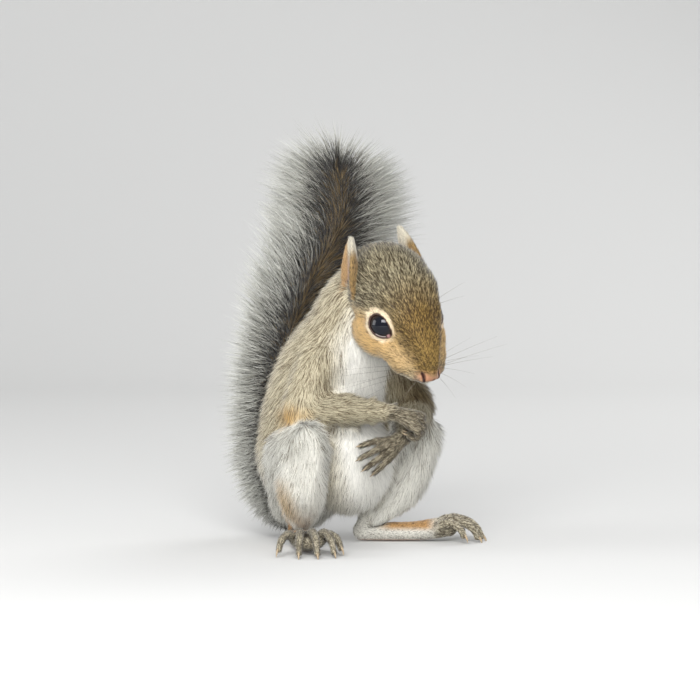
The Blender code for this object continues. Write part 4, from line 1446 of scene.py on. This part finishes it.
short_strand = strand("short strand", 1, 0.0, 8.0)
short_fur = fur_finish("short fur", 0.36, 0.2, (0.12, 0.10, 0.08))
of_face = head_at[:, 1] < 3
coat_piece("coat_face", on_head & of_face, 18.0, short_strand, short_fur, 0.24, 1.6, 1)
coat_piece("coat_crown", on_head & ~of_face, 18.0, short_strand, short_fur, 0.26, 1.6, 2)
coat_piece("coat_ears", part("ear"), 14.0, short_strand, short_fur, 0.10, 4.0, 3)

# --- coat of the body -----------------------------------------------------------------------------------
# Softer, longer hairs over the back, the breast and belly, and the arms. They grow from the skin as the
# head's do, with paler roots and softer ticks, and lean together in small locks.

body_fur = fur_finish("body fur", 0.68, 0.2, (0.26, 0.22, 0.18))
on_trunk = part("trunk") | part("neck")
forward = body_at[:, 1] < -4
coat_piece("coat_back", on_trunk & ~forward, 6.4, short_strand, body_fur, 0.22, 3.5, 4)
coat_piece("coat_breast", on_trunk & forward, 6.4, short_strand, body_fur, 0.20, 3.5, 5)
on_arms = part("upper_arm") | part("forearm")
coat_piece("coat_arms", on_arms, 7.5, short_strand, body_fur, 0.20, 3.5, 6)

# --- coat of the legs, hands and feet -------------------------------------------------------------------
# Loose pale fur over the thighs and shanks, closing to a short nap on the hands and feet. The soles that
# the animal stands on are bare.

on_shanks = part("thigh") | part("shank")
above_sole = part("foot") & (body_at[:, 2] > 0.8)
coat_piece("coat_legs", on_shanks, 7.0, short_strand, body_fur, 0.22, 3.5, 7)
coat_piece("coat_feet", above_sole, 6.0, short_strand, short_fur, 0.12, 3.0, 8)
coat_piece("coat_hands", part("hand"), 9.0, short_strand, short_fur, 0.12, 3.0, 9)

# --- plume of the tail ----------------------------------------------------------------------------------
# Long coarse hairs, tan below, then black, then white to the tip, standing out from the core to a flat
# plume that lies up behind the back.


def plume_finish():
    """Long hairs banded tan, black and white, each shifted a little from the next."""
    made, tree, shader = new_finish("tail hair", 0.5, 0.35, 0.2)
    along = kept_value(tree, "along")
    chance = kept_value(tree, "chance")
    shift = add(tree, "ShaderNodeMapRange", {0: chance, 1: 0.0, 2: 1.0, 3: -0.08, 4: 0.08}).outputs[0]
    reach = kept_value(tree, "reach_share")
    spot = add(tree, "ShaderNodeMath", {0: along, 1: reach}, operation="MULTIPLY").outputs[0]
    spot = add(tree, "ShaderNodeMath", {0: spot, 1: shift}, operation="ADD").outputs[0]
    bands = banded(tree, spot, [
        (0.0, colour(110, 90, 60)),
        (0.12, colour(158, 132, 86)),
        (0.25, colour(150, 126, 84)),
        (0.32, colour(34, 29, 23)),
        (0.47, colour(34, 30, 25)),
        (0.55, colour(158, 156, 146)),
        (0.70, colour(192, 192, 184)),
        (1.0, colour(216, 216, 210)),
    ])
    vary = own_shade(tree, chance, 0.55, 1.12)
    shaded = add(tree, "ShaderNodeVectorMath", {0: bands, 3: vary}, operation="SCALE").outputs[0]
    tree.links.new(shaded, shader.inputs["Base Color"])
    return made


plume_strand = strand("plume strand", 3, 0.10, 70.0)
plume_hair = plume_finish()
TAIL_THIRDS = (52, 92)  # steps of the tail's path where one piece of the plume gives way to the next
PLUME_HAIRS = (("low", 7.6), ("middle", 8.5), ("high", 15.0))  # for each square millimetre of skin
tail_third = np.digitize(along_tail, TAIL_THIRDS)
for number, (name, thickly) in enumerate(PLUME_HAIRS):
    here, seed = on_tail & (tail_third == number), 10 + number
    coat_piece("coat_tail_" + name, here, thickly, plume_strand, plume_hair, 0.20, 4.0, seed, 0)
for spare in (short_strand, plume_strand):
    bpy.data.objects.remove(spare)

# --- whiskers -------------------------------------------------------------------------------------------
# Stiff dark bristles rooted in the whisker pads, with two above each eye. Each tapers to a fine point and
# bows a little between its root and its tip.

WHISKERS = [  # root and tip in the head's frame, for the left, and the thickness at the root
    ((3.9, -21.0, -13.8), (38.0, -20.0, -12.0), 0.12),
    ((4.2, -20.0, -14.8), (35.0, -16.0, -20.0), 0.12),
    ((4.4, -19.0, -15.6), (30.0, -12.0, -30.0), 0.11),
    ((4.6, -18.0, -14.2), (40.0, -10.0, -15.0), 0.13),
    ((4.9, -17.0, -15.2), (35.0, -6.0, -26.0), 0.12),
    ((5.1, -16.0, -14.0), (32.0, -3.0, -18.0), 0.11),
    ((3.6, -21.8, -15.6), (17.0, -25.0, -25.0), 0.12),
    ((3.2, -20.0, -17.0), (15.0, -21.0, -32.0), 0.12),
    ((8.0, -7.0, 6.4), (16.0, -16.0, 15.0), 0.12),
    ((9.0, -5.0, 7.0), (19.0, -11.0, 18.0), 0.12),
]


def whisker(root, tip, thick, side):
    """One bristle, from its root to its tip."""
    root, tip = np.array(on_side(root, side), float), np.array(on_side(tip, side), float)
    rows = []
    for i in range(9):
        t = i / 8
        bow = np.array((0, 1.0, -2.2)) * (t * (1 - t)) * -1.2
        half = thick * (1 - 0.85 * t) * 0.6
        rows.append((*(root + (tip - root) * t + bow), half, half))
    return tube("whisker", rows, head_place, (0.1, 0.2, 1), sides=6, steps=1)


bristles = [whisker(*row, side) for row in WHISKERS for side in SIDES.values()]
whiskers = smooth_faces(joined("whiskers", bristles))
made, tree, shader = new_finish("whisker bristle", 0.3, 0.5)
mottled(tree, shader, (300.0, 2.0, 0.5), colour(70, 62, 52), colour(128, 118, 104))
whiskers.data.materials.append(made)
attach(whiskers, "root")

# --- floor, light and camera ----------------------------------------------------------------------------
# A plain pale floor that curves up behind, with a soft key light above, a broad fill in front, and weaker
# lights at the left and behind.

made, tree, shader = new_finish("plain pale floor", 0.9, 0.2)
shader.inputs["Base Color"].default_value = (0.70, 0.70, 0.69, 1)

world = bpy.data.worlds.new("studio")
world.use_nodes = True
world.node_tree.nodes["Background"].inputs[0].default_value = (0.90, 0.905, 0.92, 1)
world.node_tree.nodes["Background"].inputs[1].default_value = 0.6
bpy.context.scene.world = world

CAMERA_SIDE, CAMERA_HEIGHT, CAMERA_FAR = math.radians(-40), math.radians(3.5), 1.6
VIEW_WIDTH = 0.294
CAMERA_AIM = (5.04, 81.06)  # millimetres right of the animal's zero and above it, as the camera sees it
back = Vector((
    math.sin(CAMERA_SIDE) * math.cos(CAMERA_HEIGHT),
    -math.cos(CAMERA_SIDE) * math.cos(CAMERA_HEIGHT),
    math.sin(CAMERA_HEIGHT),
))
right = Vector((math.cos(CAMERA_SIDE), math.sin(CAMERA_SIDE), 0))
above = back.cross(right)
aim = animal_place.translation + (right * CAMERA_AIM[0] + above * CAMERA_AIM[1]) * MM
camera = set_out("camera", bpy.data.cameras.new("camera"))
camera.data.lens = 36 * CAMERA_FAR / VIEW_WIDTH
camera.data.clip_start = 0.05
camera.location = aim + back * CAMERA_FAR
camera.rotation_mode = "QUATERNION"
camera.rotation_quaternion = (-back).to_track_quat("-Z", "Y")
bpy.context.scene.camera = camera

SWEEP_NEAR, SWEEP_BEND, SWEEP_HIGH, SWEEP_WIDE = 0.9, 0.6, 2.6, 6.0  # metres, going away from the camera
sheet = [(-2.5, 0.0)]
for a in np.linspace(0, math.pi / 2, 24):
    sheet.append((SWEEP_NEAR + SWEEP_BEND * math.sin(a), SWEEP_BEND * (1 - math.cos(a))))
sheet.append((SWEEP_NEAR + SWEEP_BEND, SWEEP_HIGH))
flat_back = Vector((back.x, back.y, 0)).normalized()
points = []
for far, high in sheet:
    for side in (-1, 1):
        points.append(-flat_back * far + Vector((0, 0, high)) + right * SWEEP_WIDE * side)
mesh = bpy.data.meshes.new("floor")
mesh.from_pydata(points, [], [(i, i + 1, i + 3, i + 2) for i in range(0, len(points) - 2, 2)])
floor = smooth_faces(set_out("floor", mesh))
mesh.materials.append(made)


def soft_light(name, place, size, power):
    """An oblong light at a place given as right, up and towards the camera from the animal, in metres."""
    lamp = bpy.data.lights.new(name, "AREA")
    lamp.shape = "RECTANGLE"
    lamp.size, lamp.size_y = size
    lamp.energy = power
    made = set_out(name, lamp)
    made.location = aim + right * place[0] + Vector((0, 0, 1)) * place[1] + back * place[2]
    made.rotation_mode = "QUATERNION"
    made.rotation_quaternion = (made.location - aim).to_track_quat("Z", "Y")
    made.visible_camera = False
    return made


soft_light("key", (-0.10, 0.56, 0.98), (0.62, 0.40), 10.5)
fill = soft_light("fill", (-0.05, -0.10, 1.2), (0.9, 0.9), 15.5)
fill.visible_glossy = False  # no second bright square in the eyes
soft_light("side", (-1.0, 0.25, 0.10), (0.5, 0.5), 3.0)
soft_light("back", (0.55, 0.75, -0.85), (0.7, 0.7), 4.5)
bpy.context.scene.view_settings.view_transform = "Standard"
